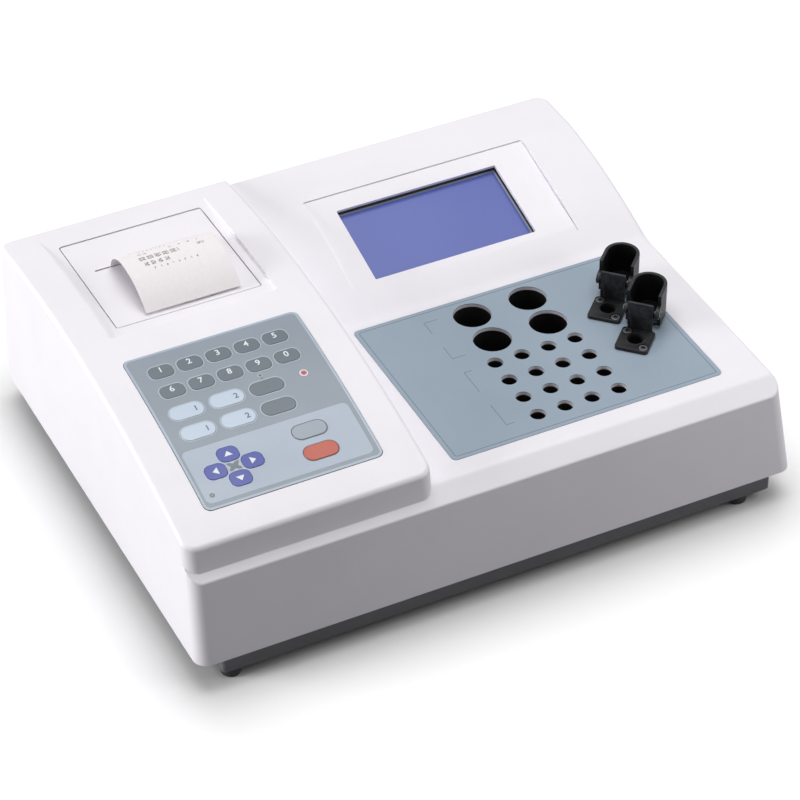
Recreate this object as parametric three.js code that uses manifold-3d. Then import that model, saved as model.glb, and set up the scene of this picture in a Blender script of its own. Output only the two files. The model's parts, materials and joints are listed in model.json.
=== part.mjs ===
// Two-channel coagulation analyzer for the bench.
//
// Millimetres, Z up. The origin is the middle of the footprint at table level.
// The operator sits on the -Y side. Everything is laid out in the body frame, whose
// origin is the front left bottom corner of the white housing (X right, Y back, Z up).

import * as THREE from 'three';
import { mergeVertices } from 'three/addons/utils/BufferGeometryUtils.js';
import Module from 'manifold-3d';

const wasm = await Module();
wasm.setup();

// Shared allowances
const weldTolerance = 0.0001;
const overrun = 4;
const fittingGap = 0.3;
const slidingGap = 0.1;
const restGap = 0.05;
const smallArcSteps = 2;
const boreSides = 14;
const largeBoreSides = 20;

// Case walls
const wall = 3;
const cornerRadius = 8;
const leftDraftShare = 0.022;
const rightDraftShare = 0.12;
const frontDraftShare = 0.12;
const rearDraftShare = 0.04;

// Keypad. The outline is set by the columns and rows of keys and the margins round them
const keypadLeftX = 21;
const keypadFrontY = 30.6;
const keypadCornerRadius = 4;
const keypadPocketDepth = 2;
const keypadBoardThickness = 0.6;
const keypadProud = 0.2;
const keypadSteps = 6;
const keyClearance = 0.3;
const keyBottomDepth = 0.95;
const keyProud = 0.55;
const numberKeyWidth = 13.2;
const numberKeyDepth = 8.8;
const numberKeyRadius = 3.4;
const numberColumns = 5;
const numberPitchX = 16.4;
const numberPitchY = 15.3;
const numberLeftMargin = 16.6;
const numberRightMargin = 18.8;
const numberRearMargin = 15;
const pillWidth = 18.6;
const pillDepth = 9.2;
const pillRadius = 4.4;
const pillPitchX = 22.8;
const pillPitchY = 14.7;
const pillLeftMargin = 17.5;
const numberFirstX = keypadLeftX + numberLeftMargin;
const keypadRightX = numberFirstX + numberPitchX * (numberColumns - 1) + numberRightMargin;
const enterKeyRise = 14.4;
const enterKeyY = keypadFrontY + enterKeyRise;
const commandKeyPitch = 14.3;
const menuKeyY = enterKeyY + commandKeyPitch;
const pillRise = 20.2;
const pillFrontY = menuKeyY + pillRise;
const pillRearY = pillFrontY + pillPitchY;
const numberRise = 16.1;
const numberFrontY = pillRearY + numberRise;
const numberRearY = numberFrontY + numberPitchY;
const keypadRearY = numberRearY + numberRearMargin;
const pillFirstX = keypadLeftX + pillLeftMargin;
const menuKeyShift = 8.1;
const menuKeyX = pillFirstX + pillPitchX * 2 + menuKeyShift;
const arrowLeftMargin = 25.4;
const arrowCentreX = keypadLeftX + arrowLeftMargin;
const arrowRise = 7;
const arrowCentreY = enterKeyY + arrowRise;
const arrowReachX = 10.3;
const arrowReachY = 8.1;
const arrowKeyWidth = 11.4;
const arrowKeyDepth = 9.4;
const arrowKeyRadius = 3.6;

// Work area: overlay, wells and channels, placed from the console and the front of the deck
const consoleSideMargin = 21.8;
const consoleWidth = keypadRightX + consoleSideMargin;
const bandFootY = 6.1;
const bandDepth = 11.2;
const deckFrontY = bandFootY + bandDepth;
const overlayLeftGap = 16.1;
const overlayLeftX = consoleWidth + overlayLeftGap;
const overlayFrontGap = 10.3;
const overlayFrontY = deckFrontY + overlayFrontGap;
const overlayCornerRadius = 3;
const overlayThickness = 0.5;
const overlayProud = 0.2;
const sampleWellRadius = 4.425;
const samplePitch = 16.43;
const samplesPerSide = 4;
const sampleLeftMargin = 57.8;
const sampleFirstX = overlayLeftX + sampleLeftMargin;
const sampleFrontMargin = 14.5;
const sampleFirstY = overlayFrontY + sampleFrontMargin;
const sampleLastX = sampleFirstX + samplePitch * (samplesPerSide - 1);
const sampleLastY = sampleFirstY + samplePitch * (samplesPerSide - 1);
const reagentWellRadius = 10.75;
const reagentPitchX = 34.65;
const reagentPitchY = 24.1;
const reagentsPerSide = 2;
const reagentShift = 8.1;
const reagentFirstX = sampleFirstX + reagentShift;
const reagentSpacing = 18.91;
const reagentFirstY = sampleLastY + reagentSpacing;
const reagentLastY = reagentFirstY + reagentPitchY * (reagentsPerSide - 1);
const wellDepth = 36;
const channelSpacing = 27.41;
const channelX = sampleLastX + channelSpacing;
const channelRise = 31.1;
const channelFirstY = sampleFirstY + channelRise;
const channelPitch = 30.7;
const channelTurn = -Math.PI / 4;
const overlayRightMargin = 29.2;
const overlayRightX = channelX + overlayRightMargin;
const overlayRearMargin = 16.2;
const overlayRearY = reagentLastY + overlayRearMargin;
const deckRightMargin = 31.4;
const bodyWidth = overlayRightX + deckRightMargin;

// Upper profile of the right-hand part, front to back (Y, Z)
const bandFootZ = 50.8;
const bandHeight = 7.2;
const deckZ = bandFootZ + bandHeight;
const overlayRearGap = 0.5;
const deckRearY = overlayRearY + overlayRearGap;
const slopeBendReach = 3.5;
const slopeFootBendY = deckRearY + slopeBendReach;
const slopeFootReach = 3.4;
const slopeFootY = slopeFootBendY + slopeFootReach;
const slopeFootRise = 1.63;
const slopeFootZ = deckZ + slopeFootRise;
const slopeLowerDepth = 38.4;
const slopeMiddleY = slopeFootY + slopeLowerDepth;
const slopeLowerRise = 19.57;
const slopeMiddleZ = slopeFootZ + slopeLowerRise;
const slopeUpperDepth = 41.6;
const slopeTopY = slopeMiddleY + slopeUpperDepth;
const slopeUpperRise = 5.4;
const slopeTopZ = slopeMiddleZ + slopeUpperRise;
const levelBendReach = 3;
const slopeTopBendY = slopeTopY + levelBendReach;
const levelTopY = slopeTopBendY + levelBendReach;
const levelRise = 0.4;
const levelTopZ = slopeTopZ + levelRise;
const profileSteps = 6;
const levelDepth = 34.4;
const bodyDepth = levelTopY + levelDepth;

// Raised console on the left
const consoleFrontY = 4.52;
const consoleCornerRadius = 8;
const crestSetback = 90.4;
const crestY = bodyDepth - crestSetback;
const crestRise = 10;
const crestZ = levelTopZ + crestRise;
const crestRadius = 600;
const consoleArcSteps = 18;

// Case bosses
const bossRadius = 4;
const bossFrontY = 20;
const bossRearInset = 20.4;
const bossRearY = bodyDepth - bossRearInset;
const bossLeftX = 7.5;
const bossRightInset = 10;
const bossRightX = bodyWidth - bossRightInset;

// Base tray
const trayLeftX = 15;
const trayRightInset = 11.4;
const trayRightX = bodyWidth - trayRightInset;
const trayFrontY = 4.2;
const trayRearInset = 7.4;
const trayRearY = bodyDepth - trayRearInset;
const trayDepth = 13;
const trayWall = 2;
const trayCornerRadius = 2.4;
const flangeThickness = 2.5;

// Feet
const footRadius = 6.25;
const footHeight = 6;
const footTaper = 0.8;
const footPlugRadius = 2.6;
const footFrontInset = 6.55;
const footFrontY = trayFrontY + footFrontInset;
const footRearInset = 9;
const footRearY = trayRearY - footRearInset;
const footLeftInset = 7;
const footLeftX = trayLeftX + footLeftInset;
const footRightInset = 17.2;
const footRightX = trayRightX - footRightInset;
const footSides = 20;

// Incubation block round the wells, and its heater
const blockMargin = 4;
const blockBottomZ = 14;
const heaterInset = 6;
const heaterThickness = 3;

// Optical block under the measuring channels
const channelBlockWidth = 22;
const channelBlockMargin = 14;
const channelBlockHeight = 26;
const cuvetteBoreRadius = 4.3;
const cuvetteBoreDepth = 24;

// Bracket of one channel, in its own turned frame
const plateHalfWidth = 9.4;
const plateFrontY = -9.8;
const plateRearY = 9.4;
const plateThickness = 2.2;
const plateCornerRadius = 2.2;
const plateHoleRadius = 4.55;
const bracketScrewOffset = 6.2;
const screwHeadRadius = 2.75;
const screwHeadDepth = 1.5;
const screwShankRadius = 1.5;
const screwLength = 12;
const socketRadius = 1.2;
const socketDepth = 1;
const hexSides = 6;
const uprightHalfWidth = 7;
const uprightThickness = 1.5;
const uprightTopZ = 19.5;
const earThickness = 1.5;
const earReach = 2.6;
const pivotY = 12.6;
const pivotZ = 12.4;
const pivotRadius = 1.25;
const pivotHeadRadius = 2.6;
const pivotHeadThickness = 0.8;
const pivotSides = 16;

// Flip-over light hood
const hoodHalfWidth = 9.9;
const hoodWall = 1.6;
const hoodFloorThickness = 1.6;
const hoodFrontY = 15.3;
const hoodArcY = 26;
const hoodRimGap = 0.4;
const hoodFloorZ = 2;
const hoodLugRadius = 3.4;
const hoodArcSteps = 10;

// Display, in a frame tipped to the slope and standing over its foot
const displayTilt = 0.2628;
const displayPlaneRise = 2.8755;
const displayLeftShift = 11.6;
const displayRecessLeftX = overlayLeftX + displayLeftShift;
const displayRightShift = 12.1;
const displayRecessRightX = overlayRightX - displayRightShift;
const displayRecessFrontV = 10.38;
const displayRecessCorner = 1.5;
const displayPadThickness = 3;
const displayPadMargin = 4;
const windowLeftMargin = 16.4;
const windowLeftX = displayRecessLeftX + windowLeftMargin;
const windowRightMargin = 22.8;
const windowRightX = displayRecessRightX - windowRightMargin;
const windowFrontMargin = 9.8;
const windowFrontV = displayRecessFrontV + windowFrontMargin;
const windowDepth = 52.9;
const windowRearV = windowFrontV + windowDepth;
const windowRearMargin = 11.1;
const displayRecessRearV = windowRearV + windowRearMargin;
const windowCorner = 0.6;
const gasketGap = 0.2;
const gasketMargin = 3.5;
const gasketThickness = 2.6;
const paneMargin = 2.5;
const paneThickness = 1.5;
const moduleMargin = 8;
const moduleThickness = 9;

// Printer bay, in a frame tipped to the plane of its recess, laid out from the rear forwards
const printerTilt = -0.028;
const printerRearInset = 16.4;
const printerRearY = bodyDepth - printerRearInset;
const printerPlaneDrop = 4.6;
const printerRearZ = crestZ - printerPlaneDrop;
const printerPadThickness = 2.5;
const printerPadMargin = 3;
const printerRecessCorner = 3;
const printerRecessLeftX = 23;
const lidWidth = 84.2;
const lidLeftMargin = 7.8;
const lidLeftX = printerRecessLeftX + lidLeftMargin;
const lidRightX = lidLeftX + lidWidth;
const lidRightMargin = 5.9;
const printerRecessRightX = lidRightX + lidRightMargin;
const lidRearV = -9.1;
const lidThickness = 1.8;
const lidGap = 0.6;
const lidRearGap = 1;
const lidCornerRadius = 1.2;
const slotLeftMargin = 9.2;
const slotLeftX = lidLeftX + slotLeftMargin;
const slotRightMargin = 3;
const slotRightX = lidRightX - slotRightMargin;
const slotSetback = 29.3;
const slotV = lidRearV - slotSetback;
const slotWidth = 1.5;
const lidPivotSetback = 5.9;
const lidPivotV = lidRearV - lidPivotSetback;
const lidPivotW = -3.2;
const lidPinRadius = 0.8;
const lidBearingRadius = 1.3;
const lidLugRadius = 1.9;
const lidLugWidth = 4;
const lidLugInset = 3.4;
const lidSweep = 7.2;
const platenRadius = 4.5;
const platenSetback = 5;
const platenV = slotV - platenSetback;
const platenW = -10;
const platenAxleRadius = 1.6;
const rollRadius = 18;
const rollCoreRadius = 6;
const rollWidth = 57;
const rollV = platenV - platenRadius - rollRadius - slidingGap;
const rollSides = 32;
const rollFrontGap = 8.6;
const lidFrontV = rollV - rollRadius - rollFrontGap;
const recessFrontMargin = 8.4;
const printerRecessLength = recessFrontMargin - lidFrontV;
const bucketWall = 2;
const bucketInset = 0.4;
const bucketDepth = 44;
const bucketFlange = 3.5;
const bucketFloorThickness = 2;
const headThickness = 5;
const headHeight = 16;
const stripThickness = 0.3;
const stripWidth = 55.5;
const stripLeftMargin = 9;
const stripLeftX = slotLeftX + stripLeftMargin;
const stripTailW = -3;
const stripRise = 17;
const stripFallReach = 33.6;
const stripFallV = slotV - stripFallReach;
const stripFallW = 19;
const stripEndReach = 17.5;
const stripEndV = stripFallV - stripEndReach;
const stripEndW = 1.6;
const stripSteps = 12;

// Rear wall fittings
const fittingOpeningDepth = 7.2;
const fittingInset = 3.4;
const fittingFaceY = bodyDepth - fittingInset;
const fittingPanelThickness = 1.5;
const fittingZ = 26;
const fittingCorner = 2;
const switchX = 44;
const switchFlangeWidth = 21;
const switchFlangeHeight = 15;
const switchBodyWidth = 18;
const switchBodyHeight = 12;
const switchBodyDepth = 16;
const switchFrameWall = 1.4;
const inletSpacing = 34;
const inletX = switchX + inletSpacing;
const inletFlangeWidth = 31;
const inletFlangeHeight = 24;
const inletBodyWidth = 27;
const inletBodyHeight = 19.5;
const inletBodyDepth = 24;
const inletSocketInset = 2;
const inletSocketDepth = 16;
const inletPinWidth = 2;
const inletPinHeight = 4;
const inletPinPitch = 7;
const inletPinRise = 2;
const inletPinReach = 13;
const rockerGap = 0.35;
const rockerTilt = 0.14;
const rockerHalfHeight = 4.1;
const rockerFaceDepth = 2.1;
const rockerValleyDepth = 1.2;
const rockerEdge = 0.5;
const rockerBackDepth = 1.5;
const rockerBackHalfHeight = 2;
const rockerPivotDepth = 1.5;
const serialSpacing = 86.2;
const serialX = consoleWidth + serialSpacing;
const serialZ = 12;
const serialFlangeWidth = 31;
const serialFlangeHeight = 12.6;
const serialShellWidth = 17;
const serialShellHeight = 8.4;
const serialShellWall = 0.6;
const serialReach = 1.4;
const serialBodyDepth = 11;

// Electronics inside
const boardLeftMargin = 21.2;
const boardLeftX = consoleWidth + boardLeftMargin;
const boardRightInset = 25;
const boardRightX = bodyWidth - boardRightInset;
const boardFrontY = slopeFootY;
const boardRearInset = 13;
const boardRearY = fittingFaceY - boardRearInset;
const boardZ = 3;
const boardThickness = 1.6;
const boardPostRadius = 4;
const boardPostInset = 9;
const chipHeight = 3.2;
const chipSide = 22;
const capacitorHeight = 14;
const capacitorRadius = 6;
const connectorHeight = 9;
const connectorWidth = 40;
const connectorDepth = 8;
const supplyLeftX = 34;
const supplyRightInset = 31.8;
const supplyRightX = consoleWidth - supplyRightInset;
const supplyFrontShift = 1.1;
const supplyFrontY = deckRearY - supplyFrontShift;
const supplyRearGap = 9;
const supplyRearY = fittingFaceY - inletBodyDepth - supplyRearGap;
const supplyTopZ = 28;
const supplyCorner = 2;

// Colours and surfaces
const finishes = {
  housingPlastic: { color: 0xebe7ee, roughness: 0.5, metalness: 0 },
  trayPaint: { color: 0x45474b, roughness: 0.6, metalness: 0.1 },
  footRubber: { color: 0x16161a, roughness: 0.9, metalness: 0 },
  workFoil: { color: 0x98a8b8, roughness: 0.45, metalness: 0 },
  blockAnodised: { color: 0x121214, roughness: 0.45, metalness: 0.3 },
  heaterFoil: { color: 0xb5652a, roughness: 0.6, metalness: 0 },
  fixturePlastic: { color: 0x1d1e22, roughness: 0.4, metalness: 0 },
  screwSteel: { color: 0x3a3c40, roughness: 0.35, metalness: 0.8 },
  displayPane: { color: 0x7680be, roughness: 0.12, metalness: 0 },
  displayModule: { color: 0x1b1c20, roughness: 0.5, metalness: 0.2 },
  keypadFoil: { color: 0xa3b0bd, roughness: 0.4, metalness: 0 },
  boardGreen: { color: 0x1f5a38, roughness: 0.5, metalness: 0 },
  numberKey: { color: 0x6b7882, roughness: 0.4, metalness: 0 },
  paleKey: { color: 0xbecdde, roughness: 0.4, metalness: 0 },
  arrowKey: { color: 0x4b4fa0, roughness: 0.4, metalness: 0 },
  menuKey: { color: 0x96a0aa, roughness: 0.4, metalness: 0 },
  enterKey: { color: 0xbe5541, roughness: 0.4, metalness: 0 },
  printerPlastic: { color: 0x2c2d31, roughness: 0.6, metalness: 0 },
  paper: { color: 0xf4f1ee, roughness: 0.85, metalness: 0 },
  platenRubber: { color: 0x202024, roughness: 0.85, metalness: 0 },
  supplyMetal: { color: 0xb4b7ba, roughness: 0.4, metalness: 0.8 },
  inletPlastic: { color: 0x141416, roughness: 0.5, metalness: 0 },
};

// Geometry helpers
function toSolid(geometry) {
  const bare = geometry.clone();
  bare.deleteAttribute('normal');
  bare.deleteAttribute('uv');
  const welded = mergeVertices(bare, weldTolerance);
  return new wasm.Manifold(new wasm.Mesh({
    numProp: 3,
    vertProperties: Float32Array.from(welded.attributes.position.array),
    triVerts: Uint32Array.from(welded.index.array),
  }));
}

function toGeometry(solid) {
  const mesh = solid.getMesh();
  const geometry = new THREE.BufferGeometry();
  geometry.setAttribute('position', new THREE.BufferAttribute(Float32Array.from(mesh.vertProperties), 3));
  geometry.setIndex(new THREE.BufferAttribute(Uint32Array.from(mesh.triVerts), 1));
  geometry.computeVertexNormals();
  return geometry;
}

function joined(...geometries) {
  return toGeometry(geometries.map(toSolid).reduce((whole, next) => whole.add(next)));
}

function carved(geometry, ...tools) {
  return toGeometry(tools.map(toSolid).reduce((whole, tool) => whole.subtract(tool), toSolid(geometry)));
}

function shared(...geometries) {
  return toGeometry(geometries.map(toSolid).reduce((whole, next) => whole.intersect(next)));
}

// Closed outline of a rectangle with round corners
function roundedRectangle(x0, y0, x1, y1, radius) {
  const shape = new THREE.Shape();
  shape.moveTo(x0 + radius, y0);
  shape.lineTo(x1 - radius, y0);
  shape.absarc(x1 - radius, y0 + radius, radius, -Math.PI / 2, 0);
  shape.lineTo(x1, y1 - radius);
  shape.absarc(x1 - radius, y1 - radius, radius, 0, Math.PI / 2);
  shape.lineTo(x0 + radius, y1);
  shape.absarc(x0 + radius, y1 - radius, radius, Math.PI / 2, Math.PI);
  shape.lineTo(x0, y0 + radius);
  shape.absarc(x0 + radius, y0 + radius, radius, Math.PI, Math.PI * 3 / 2);
  return shape;
}

function centredRectangle(width, depth, radius) {
  return roundedRectangle(-width / 2, -depth / 2, width / 2, depth / 2, radius);
}

// Upright prism over an outline in X and Y
function upright(shape, bottom, top, steps = smallArcSteps) {
  const geometry = new THREE.ExtrudeGeometry(shape, { depth: top - bottom, bevelEnabled: false, curveSegments: steps });
  return geometry.translate(0, 0, bottom);
}

// Prism over an outline in Y and Z, running along X
function acrossWidth(shape, left, right, steps = smallArcSteps) {
  const geometry = new THREE.ExtrudeGeometry(shape, { depth: right - left, bevelEnabled: false, curveSegments: steps });
  geometry.applyMatrix4(new THREE.Matrix4().set(0, 0, 1, 0, 1, 0, 0, 0, 0, 1, 0, 0, 0, 0, 0, 1));
  return geometry.translate(left, 0, 0);
}

// Prism over an outline in X and Z, running backwards along Y
function alongDepth(shape, front, rear, steps = smallArcSteps) {
  const geometry = new THREE.ExtrudeGeometry(shape, { depth: rear - front, bevelEnabled: false, curveSegments: steps });
  geometry.rotateX(Math.PI / 2);
  return geometry.translate(0, rear, 0);
}

function box(x0, y0, z0, x1, y1, z1) {
  const geometry = new THREE.BoxGeometry(x1 - x0, y1 - y0, z1 - z0);
  return geometry.translate((x0 + x1) / 2, (y0 + y1) / 2, (z0 + z1) / 2);
}

function uprightCylinder(x, y, radius, bottom, top, sides = boreSides) {
  const geometry = new THREE.CylinderGeometry(radius, radius, top - bottom, sides);
  geometry.rotateX(Math.PI / 2);
  return geometry.translate(x, y, (bottom + top) / 2);
}

// Cylinder whose axis runs along X
function crossCylinder(y, z, radius, left, right, sides = boreSides) {
  const geometry = new THREE.CylinderGeometry(radius, radius, right - left, sides);
  geometry.rotateZ(Math.PI / 2);
  return geometry.translate((left + right) / 2, y, z);
}

function polygon(points) {
  return new THREE.Shape(points.map(([across, up]) => new THREE.Vector2(across, up)));
}

// Parts are kept in a list and hung under the right frame
const analyzer = new THREE.Group();
analyzer.name = 'coagulation_analyzer';
const body = new THREE.Group();
body.position.set(-bodyWidth / 2, -bodyDepth / 2, footHeight + trayDepth);
analyzer.add(body);

function addPart(parent, name, geometry, finish) {
  const mesh = new THREE.Mesh(geometry, new THREE.MeshStandardMaterial(finishes[finish]));
  mesh.name = name;
  parent.add(mesh);
  return mesh;
}

// A frame inside the body, and the same placement for tools that cut the housing
function addFrame(x, y, z, turnX, turnZ) {
  const frame = new THREE.Group();
  frame.position.set(x, y, z);
  frame.rotation.set(turnX, 0, turnZ);
  frame.updateMatrix();
  body.add(frame);
  return frame;
}

function inBody(frame, geometry) {
  return geometry.clone().applyMatrix4(frame.matrix);
}

// Housing surface

// The case walls lean inwards. Solids are made with upright walls and leaned at the end.
function leaned(geometry) {
  const position = geometry.attributes.position;
  for (let i = 0; i < position.count; i += 1) {
    const x = position.getX(i);
    const y = position.getY(i);
    const z = position.getZ(i);
    const leanX = leftDraftShare - (leftDraftShare + rightDraftShare) * x / bodyWidth;
    const leanY = frontDraftShare - (frontDraftShare + rearDraftShare) * y / bodyDepth;
    position.setXYZ(i, x + z * leanX, y + z * leanY, z);
  }
  return geometry;
}

function beforeLean(y, z) {
  return (y - frontDraftShare * z) / (1 - (frontDraftShare + rearDraftShare) * z / bodyDepth);
}

// Points of the deck and display slope, sunk by the wall for the inside
function deckProfile(sink) {
  const bandRiseShare = (deckZ - bandFootZ) / (deckFrontY - bandFootY);
  const path = new THREE.Path();
  path.moveTo(bandFootY - overrun, bandFootZ - overrun * bandRiseShare);
  path.lineTo(deckFrontY, deckZ);
  path.lineTo(deckRearY, deckZ);
  path.quadraticCurveTo(slopeFootBendY, deckZ, slopeFootY, slopeFootZ);
  path.quadraticCurveTo(slopeMiddleY, slopeMiddleZ, slopeTopY, slopeTopZ);
  path.quadraticCurveTo(slopeTopBendY, levelTopZ, levelTopY, levelTopZ);
  path.lineTo(bodyDepth + overrun, levelTopZ);
  const points = path.getPoints(profileSteps);
  return points.map((point, i) => {
    const before = points[Math.max(i - 1, 0)];
    const after = points[Math.min(i + 1, points.length - 1)];
    const along = after.clone().sub(before).normalize();
    return new THREE.Vector2(point.x + along.y * sink, point.y - along.x * sink);
  });
}

function consoleTop(y) {
  return crestZ - (y - crestY) ** 2 / (2 * crestRadius);
}

function consoleSlope(y) {
  return Math.atan((crestY - y) / crestRadius);
}

function beneath(points, bottom) {
  const first = points[0];
  const last = points[points.length - 1];
  return new THREE.Shape([new THREE.Vector2(first.x, bottom), ...points, new THREE.Vector2(last.x, bottom)]);
}

// Everything under the outer surface, set in from it by `inset`
function caseSolid(inset, bottom) {
  const lean = ({ x, y }) => new THREE.Vector2(beforeLean(x, y), y);
  const deck = acrossWidth(beneath(deckProfile(inset).map(lean), -overrun * 2), -overrun, bodyWidth + overrun);
  const arc = [];
  for (let i = 0; i <= consoleArcSteps; i += 1) {
    const y = -overrun + (bodyDepth + overrun * 2) * i / consoleArcSteps;
    arc.push(lean(new THREE.Vector2(y, consoleTop(y) - inset)));
  }
  const raised = acrossWidth(beneath(arc, -overrun * 2), -overrun, consoleWidth + overrun);
  const column = upright(
    roundedConsoleColumn(inset, consoleFrontY + inset, consoleWidth - inset, consoleCornerRadius - inset),
    -overrun * 2,
    crestZ + overrun,
  );
  const block = upright(
    roundedRectangle(inset, inset, bodyWidth - inset, bodyDepth - inset, cornerRadius - inset),
    bottom,
    crestZ + overrun,
    smallArcSteps * 2,
  );
  return leaned(shared(block, joined(deck, shared(raised, column))));
}

// Plan of the console: round corners at the front, open past the rear wall
function roundedConsoleColumn(left, front, right, radius) {
  const shape = new THREE.Shape();
  shape.moveTo(left + radius, front);
  shape.lineTo(right - radius, front);
  shape.absarc(right - radius, front + radius, radius, -Math.PI / 2, 0);
  shape.lineTo(right, bodyDepth + overrun);
  shape.lineTo(left - overrun, bodyDepth + overrun);
  shape.lineTo(left - overrun, front + radius);
  shape.lineTo(left, front + radius);
  shape.absarc(left + radius, front + radius, radius, Math.PI, Math.PI * 3 / 2);
  return shape;
}

// Curved slab under the keypad outline, between two heights above the console top
function consoleSlab(outline, bottomOffset, topOffset) {
  const lower = [];
  const upper = [];
  for (let i = -1; i <= keypadSteps + 1; i += 1) {
    const y = keypadFrontY + (keypadRearY - keypadFrontY) * i / keypadSteps;
    lower.push(new THREE.Vector2(y, consoleTop(y) + bottomOffset));
    upper.unshift(new THREE.Vector2(y, consoleTop(y) + topOffset));
  }
  const slab = acrossWidth(new THREE.Shape([...lower, ...upper]), -overrun, consoleWidth + overrun);
  return shared(slab, upright(outline, 0, crestZ + overrun * 2));
}

// Frames
const displayFrame = addFrame(0, slopeFootY, slopeFootZ + displayPlaneRise, displayTilt, 0);
const printerFrame = addFrame(0, printerRearY, printerRearZ, printerTilt, 0);
const overlayTopZ = deckZ + overlayProud;
const overlayBottomZ = overlayTopZ - overlayThickness;

// Wells in the deck
const sampleWells = [];
for (let row = 0; row < samplesPerSide; row += 1) {
  for (let column = 0; column < samplesPerSide; column += 1) {
    sampleWells.push([sampleFirstX + column * samplePitch, sampleFirstY + row * samplePitch]);
  }
}
const reagentWells = [];
for (let row = 0; row < reagentsPerSide; row += 1) {
  for (let column = 0; column < reagentsPerSide; column += 1) {
    reagentWells.push([reagentFirstX + column * reagentPitchX, reagentFirstY + row * reagentPitchY]);
  }
}

function wellCutters(bottom, top) {
  return [
    ...sampleWells.map(([x, y]) => uprightCylinder(x, y, sampleWellRadius, bottom, top)),
    ...reagentWells.map(([x, y]) => uprightCylinder(x, y, reagentWellRadius, bottom, top, largeBoreSides)),
  ];
}

// Channel frames stand on the overlay, turned so that the hoods point to the rear right
const channelFrames = [];
for (let i = 0; i < 2; i += 1) {
  channelFrames.push(addFrame(channelX, channelFirstY + i * channelPitch, overlayTopZ, 0, channelTurn));
}
const screwPlaces = [[bracketScrewOffset, -bracketScrewOffset], [-bracketScrewOffset, bracketScrewOffset]];

function channelCutters(holeRadius, bottom, top) {
  return channelFrames.flatMap((frame) => [
    uprightCylinder(0, 0, holeRadius, bottom, top),
    ...screwPlaces.map(([x, y]) => uprightCylinder(x, y, screwShankRadius + slidingGap, bottom, top, hexSides * 2)),
  ].map((tool) => inBody(frame, tool)));
}

// Keypad layout
const keyPlan = [];
for (let column = 0; column < numberColumns; column += 1) {
  const x = numberFirstX + column * numberPitchX;
  const rearDigit = column + 1;
  const frontDigit = (column + numberColumns + 1) % 10;
  keyPlan.push({ name: `key_${rearDigit}`, kind: 'number', finish: 'numberKey', x, y: numberRearY });
  keyPlan.push({ name: `key_${frontDigit}`, kind: 'number', finish: 'numberKey', x, y: numberFrontY });
}
const pillColumns = [
  { rear: 'timer_1_key', front: 'channel_1_key', finish: 'paleKey' },
  { rear: 'timer_2_key', front: 'channel_2_key', finish: 'paleKey' },
  { rear: 'online_key', front: 'paper_feed_key', finish: 'numberKey' },
];
pillColumns.forEach(({ rear, front, finish }, column) => {
  const x = pillFirstX + column * pillPitchX;
  keyPlan.push({ name: rear, kind: 'pill', finish, x, y: pillRearY });
  keyPlan.push({ name: front, kind: 'pill', finish, x, y: pillFrontY });
});
keyPlan.push({ name: 'menu_key', kind: 'pill', finish: 'menuKey', x: menuKeyX, y: menuKeyY });
keyPlan.push({ name: 'enter_key', kind: 'pill', finish: 'enterKey', x: menuKeyX, y: enterKeyY });
const arrowPlaces = {
  up: [0, arrowReachY],
  right: [arrowReachX, 0],
  down: [0, -arrowReachY],
  left: [-arrowReachX, 0],
};
Object.entries(arrowPlaces).forEach(([way, [dx, dy]]) => {
  const place = { x: arrowCentreX + dx, y: arrowCentreY + dy };
  keyPlan.push({ name: `arrow_${way}_key`, kind: 'arrow', finish: 'arrowKey', ...place });
});

const keyOutlines = {
  number: (grow) => centredRectangle(numberKeyWidth + grow * 2, numberKeyDepth + grow * 2, numberKeyRadius + grow),
  pill: (grow) => centredRectangle(pillWidth + grow * 2, pillDepth + grow * 2, pillRadius + grow),
  arrow: (grow) => centredRectangle(arrowKeyWidth + grow * 2, arrowKeyDepth + grow * 2, arrowKeyRadius + grow),
};
keyPlan.forEach((key) => {
  key.frame = addFrame(key.x, key.y, consoleTop(key.y), consoleSlope(key.y), 0);
});

// Housing
const keypadOutline = roundedRectangle(keypadLeftX, keypadFrontY, keypadRightX, keypadRearY, keypadCornerRadius);
const keypadPocket = consoleSlab(keypadOutline, -keypadPocketDepth, overrun);

const deckPocket = upright(
  roundedRectangle(overlayLeftX, overlayFrontY, overlayRightX, overlayRearY, overlayCornerRadius),
  overlayBottomZ,
  deckZ + overrun,
);

const displayRecess = inBody(displayFrame, upright(
  roundedRectangle(
    displayRecessLeftX, displayRecessFrontV, displayRecessRightX, displayRecessRearV, displayRecessCorner,
  ),
  0,
  overrun * 3,
));
const displayOpening = inBody(displayFrame, upright(
  roundedRectangle(windowLeftX, windowFrontV, windowRightX, windowRearV, windowCorner),
  -displayPadThickness - overrun,
  overrun,
));
const displayPad = inBody(displayFrame, box(
  displayRecessLeftX - displayPadMargin, displayRecessFrontV - displayPadMargin, -displayPadThickness,
  displayRecessRightX + displayPadMargin, displayRecessRearV, overrun * 2,
));

const printerRecess = inBody(printerFrame, upright(
  roundedRectangle(printerRecessLeftX, -printerRecessLength, printerRecessRightX, overrun, printerRecessCorner),
  0,
  overrun * 3,
));
const printerOpening = inBody(printerFrame, upright(
  roundedRectangle(
    lidLeftX - lidGap, lidFrontV - lidGap, lidRightX + lidGap, lidRearV + lidRearGap, lidCornerRadius + lidGap,
  ),
  -printerPadThickness - overrun,
  overrun,
));
const printerPad = inBody(printerFrame, box(
  printerRecessLeftX - printerPadMargin, -printerRecessLength - printerPadMargin, -printerPadThickness,
  printerRecessRightX + printerPadMargin, 0, overrun * 2,
));

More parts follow.
